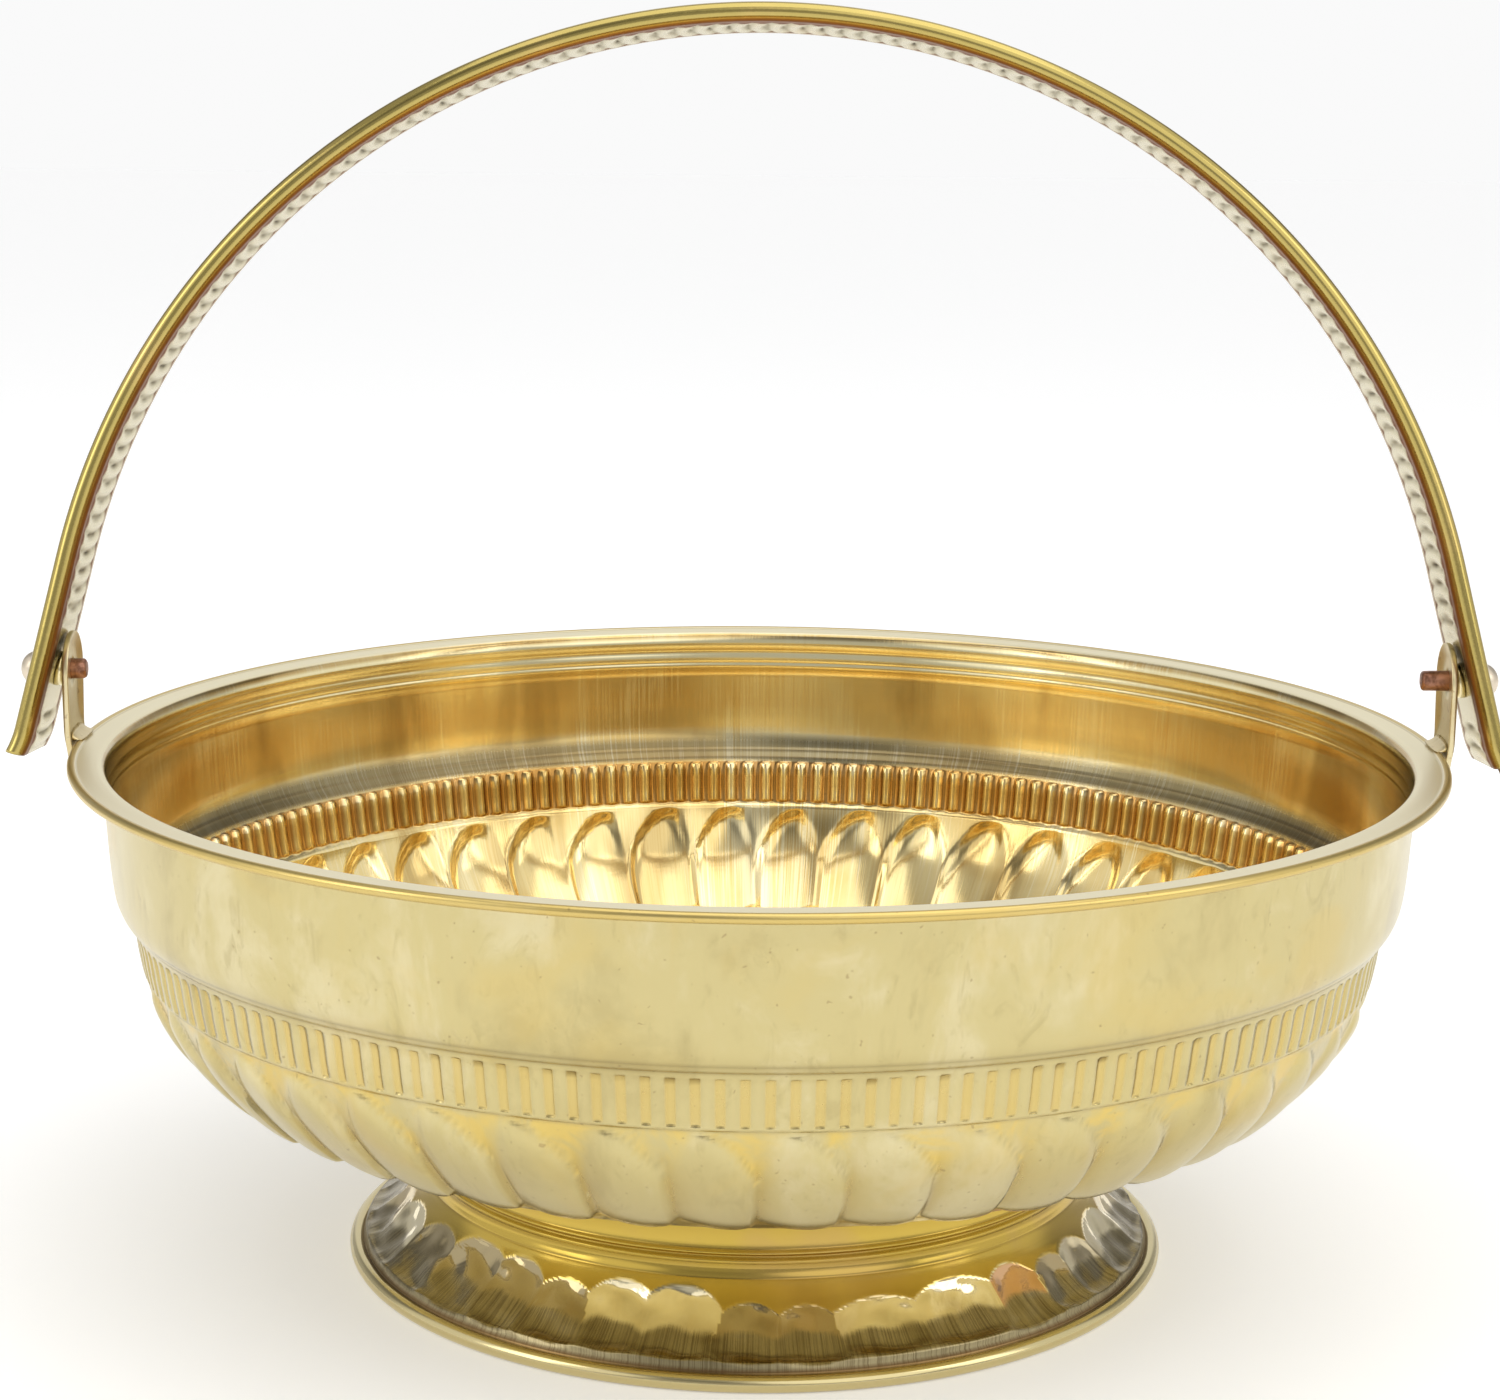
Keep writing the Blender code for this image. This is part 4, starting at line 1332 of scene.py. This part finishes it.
# ------------------------------------------------------------------- handle
@dataclass
class Handle:
    """Arched strip with both long edges rolled round wires."""

    pivot: Pivot
    arch_radius: float = 131.1
    centre_below: float = 10.4
    end_deg: float = 14.0
    leg_drop: float = 15.0
    flare: float = 0.7
    pillows: int = 106
    pillow_height: float = 0.42
    plain_end: float = 28.0
    wire_radius: float = 1.18
    stick_out: float = 2.0
    drawn_in: float = -0.6

    def line(self, step: float, extra_left: float = 0.0,
             extra_right: float = 0.0) -> tuple[Array, Array]:
        """Centre line of the rolled edges about the pivot.

        Args:
            step: spacing along the arch in millimetres.
            extra_left: lengthening of the left end.
            extra_right: lengthening of the right end.

        Returns:
            Rows of x, z and the outward normal's x and z, and the length run.
        """
        end = math.radians(self.end_deg)
        count = int(self.arch_radius * (math.pi - 2 * end) / step)
        turn = end + (math.pi - 2 * end) * np.arange(count + 1) / count
        arch = np.stack([self.arch_radius * np.cos(turn),
                         self.arch_radius * np.sin(turn) - self.centre_below,
                         np.cos(turn), np.sin(turn)], -1)
        legs = []
        for side, extra in ((Side.RIGHT, extra_right), (Side.LEFT, extra_left)):
            drop = np.concatenate([np.linspace(self.leg_drop + extra * math.cos(end), 10.0, 12),
                                   np.linspace(9.0, 0.8 - arch[0, 1], 34)])
            flare = self.flare * np.clip((drop - 10.5) / 4.5, 0.0, 1.2) ** 2
            x = self.pivot.tube_x + self.pivot.slope * drop + flare
            legs.append(np.stack([side.value * x, -drop,
                                  np.full_like(x, side.value * math.cos(end)),
                                  np.full_like(x, math.sin(end))], -1))
        path = np.concatenate([legs[0], arch, legs[1][::-1]], 0)
        steps = np.hypot(np.diff(path[:, 0]), np.diff(path[:, 1]))
        return path, np.concatenate([[0.0], np.cumsum(steps)])

    def carry(self, path: Array, across: Array, outward: Array) -> Array:
        """Carry a section along a path.

        Args:
            path: rows as line gives them.
            across: the section's places across the strip.
            outward: its places along the normals, one row for all or one for each.

        Returns:
            Rows x columns x 3, standing on the bowl.
        """
        x, z, nx, nz = path.T[:, :, None]
        x, y, z = np.broadcast_arrays(x + nx * outward, across, z + nz * outward)
        return self.pivot.stand(np.stack([x, y, z], -1))

    def section(self) -> tuple[Array, Array, Array, Array]:
        """Outline of the sheet across the strip.

        Returns:
            Across, outward, web share and seam share of each outline point.
        """
        half = self.pivot.sheet / 2.0
        mid = self.pivot.tube_r - half
        turn = np.radians(np.concatenate([[80.0], np.arange(66.0, -193.0, -13.0)]))
        curl_u, curl_v = self.pivot.half_spacing + mid * np.cos(turn), -mid * np.sin(turn)
        web_u = np.linspace(-9.1, 9.1, 25)
        u = np.concatenate([-curl_u[::-1], web_u, curl_u])
        v = np.concatenate([curl_v[::-1], np.full_like(web_u, -mid), curl_v])
        du, dv = np.gradient(u), np.gradient(v)
        size = np.hypot(du, dv)
        left = np.stack([u - dv / size * half, v + du / size * half])
        right = np.stack([u + dv / size * half, v - du / size * half])
        web = 1.0 - smoothstep(7.3, 8.0, np.abs(u))
        # Painted shadow where the tubes meet the web, and on the tubes' inner side, stronger on
        # the front one
        seam = np.exp(-((np.abs(u) - 7.6) / 0.75) ** 2) * (v < -0.9)
        tube_inner_shade = smoothstep(0.75, 1.35, -v) * smoothstep(7.2, 7.6, np.abs(u))
        seam = np.maximum(seam, tube_inner_shade * np.where(u < 0.0, 0.85, 0.30))
        across, outward = np.concatenate([left, right[:, ::-1]], 1)
        return (across, outward, np.concatenate([web, web[::-1]]),
                np.concatenate([seam, seam[::-1]]))

    def strip(self) -> None:
        """Build the strip with its pressed pillows."""
        path, run = self.line(0.72)
        u, v, web, seam = self.section()
        pitch = (run[-1] - 2.0 * self.plain_end) / self.pillows
        phase = (run[:, None] - self.plain_end) / pitch + 0.35 * (u / 7.0) ** 2
        wave = np.abs(np.sin(math.pi * phase)) ** 0.7
        near = np.minimum(run, run[-1] - run)[:, None]
        zone = np.maximum(smoothstep(24.0, 27.0, near), window(near, (0.6, 1.6), (7.0, 9.0)))
        lift = self.pillow_height * (wave - 0.5) * zone * web
        # Painted shade in the creases between the pillows
        crease_shades = zone * web * (1.0 - wave) ** 1.3
        masks = {"web": np.broadcast_to(web, lift.shape),
                 "seam": np.broadcast_to(seam, lift.shape),
                 "crease_shade": 0.95 * crease_shades * (0.25 + 0.75 * np.exp(-(u / 4.0) ** 2))}
        Piece("handle_bail", Body.HANDLE, "handle_strip", StripBrass("strip_brass")).from_grid(
            self.carry(path, u, v - lift), masks, caps=(True, True))

    def wire(self, name: str, node: str, across: float, extra_right: float) -> None:
        """Build one wire.

        Args:
            name: piece name.
            node: CAD node it stands for.
            across: place across the strip.
            extra_right: how far it runs past the strip's right-hand end.
        """
        path, _ = self.line(3.0, self.drawn_in, extra_right)
        u, v = bead_points((across, 0.0), self.wire_radius, np.degrees(around(14)))
        Piece(name, Body.HANDLE, node, WireSteel("wire_iron"), bevel=0.25).from_grid(
            self.carry(path, u, v), caps=(True, True))

    def build(self) -> None:
        """Build the strip and both wires."""
        self.strip()
        spacing = self.pivot.half_spacing
        self.wire("bail_wire_front", "handle_wire_front", -spacing, self.stick_out)
        self.wire("bail_wire_rear", "handle_wire_rear", spacing, self.drawn_in)


# ------------------------------------------------------------------- rivets
@dataclass
class Rivets:
    """Copper pivots with hammered heads, and the wedge washers on them."""

    pivot: Pivot
    radius: float = 1.90
    collar: float = 2.70
    head: float = 3.30
    head_height: float = 3.00
    washer_rim: float = 3.20
    gap: float = 0.06
    tails: dict[Side, float] = field(default_factory=lambda: {Side.LEFT: 2.8, Side.RIGHT: 5.0})
    flats: dict[Side, int] = field(default_factory=lambda: {Side.LEFT: 7, Side.RIGHT: 5})

    def turned_x(self, side: Side, sections: Sequence[tuple[float, float, float]],
                 dents: Callable[[float, Array], Array]) -> Array:
        """Rings about the pivot axis.

        Args:
            side: which end.
            sections: x, radius and share of the leg's slope for each ring.
            dents: radius change by x and angle.

        Returns:
            Rings x points x 3, standing on the bowl.
        """
        turn = around(48)
        rings = []
        for x, radius, sloped in sections:
            r = radius * (1.0 + dents(x, turn))
            y, z = r * np.cos(turn), r * np.sin(turn)
            rings.append(np.stack([side.value * (x - sloped * self.pivot.slope * z), y, z], -1))
        return self.pivot.stand(np.array(rings))

    def rivet(self, side: Side) -> None:
        """Build one rivet.

        Args:
            side: which end of the pivot axis.
        """
        p = self.pivot
        tip = p.ear_outer - p.ear_sheet - self.tails[side]
        seat, base = p.web_outer + self.gap, p.tube_outer + 0.2
        sections = [(tip, self.radius - 0.9, 0.0), (tip + 0.04, self.radius - 0.45, 0.0),
                    (tip + 0.22, self.radius - 0.16, 0.0), (tip + 0.5, self.radius, 0.0),
                    (tip + 1.6, self.radius, 0.0), (p.ear_outer, self.radius, 0.0),
                    (seat, self.radius, 1.0), (seat, self.collar, 1.0),
                    (base, self.collar, 0.0), (base, self.head - 0.15, 0.0),
                    (base + 0.12, self.head, 0.0)]
        for share in (0.2, 0.38, 0.55, 0.70, 0.82, 0.91, 0.97, 0.995):
            sections.append((base + self.head_height * share,
                             self.head * math.sqrt(1.0 - share**2 * 0.985), 0.0))

        def dents(x: float, turn: Array) -> Array:
            """Hammer flats on the tail's tip and the head.

            Args:
                x: place along the pivot axis.
                turn: angles about it.

            Returns:
                Share by which the radius grows.
            """
            near_tip = max(0.0, 1.0 - (x - tip) / 2.2)
            on_head = max(0.0, (x - base) / self.head_height)
            flat = 0.10 * np.abs(np.sin(self.flats[side] * turn / 2.0 + 0.6)) - 0.05
            return -near_tip * 0.9 * np.clip(flat + 0.03, 0.0, 1.0) + on_head * 0.5 * flat

        points = self.turned_x(side, sections, dents)
        # Marks the heads for their painted highlight
        on_head = np.array([[float(x >= base)] for x, _, _ in sections])
        Piece(f"pivot_rivet_{side.label}", Body.HANDLE, f"rivet_{side.label}",
              RivetCopper("rivet_copper"), bevel=0.12).from_grid(
                  points, {"head": blocks(points.shape[1], on_head)}, caps=(True, True))

    def washer(self, side: Side) -> None:
        """Build one wedge washer.

        Args:
            side: which end of the pivot axis.
        """
        inner, outer = self.pivot.washer_inner, self.pivot.web_inner - self.gap
        bore, rim = self.radius + self.gap, self.washer_rim
        sections = [(inner, bore, 0.0), (inner, rim - 0.12, 0.0), (inner + 0.08, rim, 0.0),
                    (outer - 0.08, rim, 1.0), (outer, rim - 0.12, 1.0), (outer, bore, 1.0)]
        finish = CastBrass("washer_brass", base=(0.88, 0.78, 0.48), rough=0.16,
                           worn_share=0.2)
        Piece(f"washer_{side.label}", Body.HANDLE, f"spacer_{side.label}", finish).from_grid(
            self.turned_x(side, sections, lambda x, turn: 0.0 * turn), wrap_rows=True)

    def build(self) -> None:
        """Build both rivets and both washers."""
        for side in Side:
            self.rivet(side)
            self.washer(side)


# ------------------------------------------------------------------- studio
@dataclass
class Studio:
    """Pale sweep, soft light and the camera, in metres."""

    lens: float = 78.3
    sensor: float = 36.0
    eye: tuple[float, float, float] = (-0.0018, -0.5978, 0.2220)
    tilt_deg: float = 11.06
    roll_deg: float = 0.52
    floor_size: float = 6.0
    floor_steps: int = 24
    floor_drop: float = 0.00005
    backdrop: float = 0.955

    def floor(self) -> None:
        """Lay the floor."""
        line = np.linspace(-self.floor_size, self.floor_size, self.floor_steps)
        x, y = np.meshgrid(line, line)
        points = np.stack([x, y, np.full_like(x, -self.floor_drop)], -1).reshape(-1, 3)
        index = np.arange(x.size).reshape(x.shape)
        quads = np.stack([index[:-1, :-1], index[:-1, 1:], index[1:, 1:], index[1:, :-1]], -1)
        mesh = bpy.data.meshes.new("studio_floor")
        mesh.from_pydata(points.tolist(), [], quads.reshape(-1, 4).tolist())
        mesh.materials.append(StudioFloor("studio_floor").material())
        self.link("studio_floor", mesh)

    @staticmethod
    def link(name: str, data: bpy.types.ID) -> bpy.types.Object:
        """Put an object in the scene.

        Args:
            name: its name.
            data: its mesh, light or camera data.

        Returns:
            The object.
        """
        made = bpy.data.objects.new(name, data)
        bpy.context.scene.collection.objects.link(made)
        return made

    def world(self) -> None:
        """Light the room: white above and behind, darker bands at the sides."""
        world = bpy.data.worlds.new("studio")
        world.use_nodes = True
        bpy.context.scene.world = world
        kit = NodeKit(world.node_tree)
        x, y, z = kit.parts(kit.value("ShaderNodeTexCoord", out="Generated"))
        flat = kit.math("MAXIMUM", kit.math("SQRT", x * x + y * y), 0.001)
        aside = kit.math("ABSOLUTE", x / flat)
        above = kit.spread(z, 0.55, 0.85)
        level: Sock | float = 0.0
        for band in (kit.spread(y / flat, 0.84, 0.97, 0.0, 0.85),
                     kit.spread(aside, 0.80, 0.97, 0.0, 0.88),
                     kit.spread(z, 0.20, 0.50, 0.48, 0.22)):
            level = kit.math("MAXIMUM", level, band)
        level = level * (1.0 - above) + above * kit.spread(x, -0.35, 0.35, 0.48, 1.0)
        for box in (kit.spread(x * 0.42 - y * 0.70 + z * 0.57, 0.84, 0.93, 0.0, 1.35),
                    kit.spread(z * 0.42 - x * 0.70 - y * 0.57, 0.90, 0.96, 0.0, 1.05)):
            level = kit.math("MAXIMUM", level, box)
        seen = kit.value("ShaderNodeLightPath", out="Is Camera Ray")
        glow = kit.value("ShaderNodeBackground", None, {
            "Color": (1.0, 1.0, 1.0, 1.0),
            "Strength": level * (1.0 - seen) + seen * self.backdrop})
        kit.node("ShaderNodeOutputWorld", None, {0: glow})

    def lamp(self, name: str, place: tuple[float, float, float],
             aim: tuple[float, float, float], size: tuple[float, float], power: float) -> None:
        """Hang one soft box.

        Args:
            name: its name.
            place: its centre in metres.
            aim: the point it faces.
            size: its width and height in metres.
            power: its power in watts.
        """
        data = bpy.data.lights.new(name, "AREA")
        data.shape, data.size, data.size_y, data.energy = "RECTANGLE", *size, power
        way = Vector(aim) - Vector(place)
        self.link(name, data).matrix_world = Matrix.Translation(place) @ way.to_track_quat(
            "-Z", "Y").to_matrix().to_4x4()

    def camera(self) -> None:
        """Stand the camera."""
        data = bpy.data.cameras.new("camera")
        data.lens, data.sensor_width, data.clip_start = self.lens, self.sensor, 0.01
        data.dof.use_dof = False
        made = self.link("camera", data)
        made.matrix_world = (Matrix.Translation(self.eye)
                             @ Matrix.Rotation(math.radians(90.0 - self.tilt_deg), 4, "X")
                             @ Matrix.Rotation(math.radians(self.roll_deg), 4, "Z"))
        bpy.context.scene.camera = made

    def build(self) -> None:
        """Build the studio."""
        self.floor()
        self.world()
        self.lamp("soft_top", (0.0, -0.1, 1.3), (0.0, 0.0, 0.1), (1.2, 1.2), 4.5)
        self.lamp("soft_left", (-1.1, -0.5, 0.7), (0.0, 0.0, 0.08), (0.5, 0.9), 2.5)
        self.lamp("soft_right", (1.1, -0.5, 0.7), (0.0, 0.0, 0.08), (0.5, 0.9), 2.0)
        self.camera()
        bpy.context.scene.view_settings.view_transform = "Standard"


def main() -> None:
    """Build the object and its studio.
    """
    logging.basicConfig(level=logging.INFO, format="%(name)s: %(message)s")
    pivot = Pivot()
    for part in (Studio(), Bowl(), Foot(), Lugs(pivot), Handle(pivot), Rivets(pivot)):
        LOG.info("building %s", type(part).__name__)
        part.build()


if __name__ == "__main__":
    main()
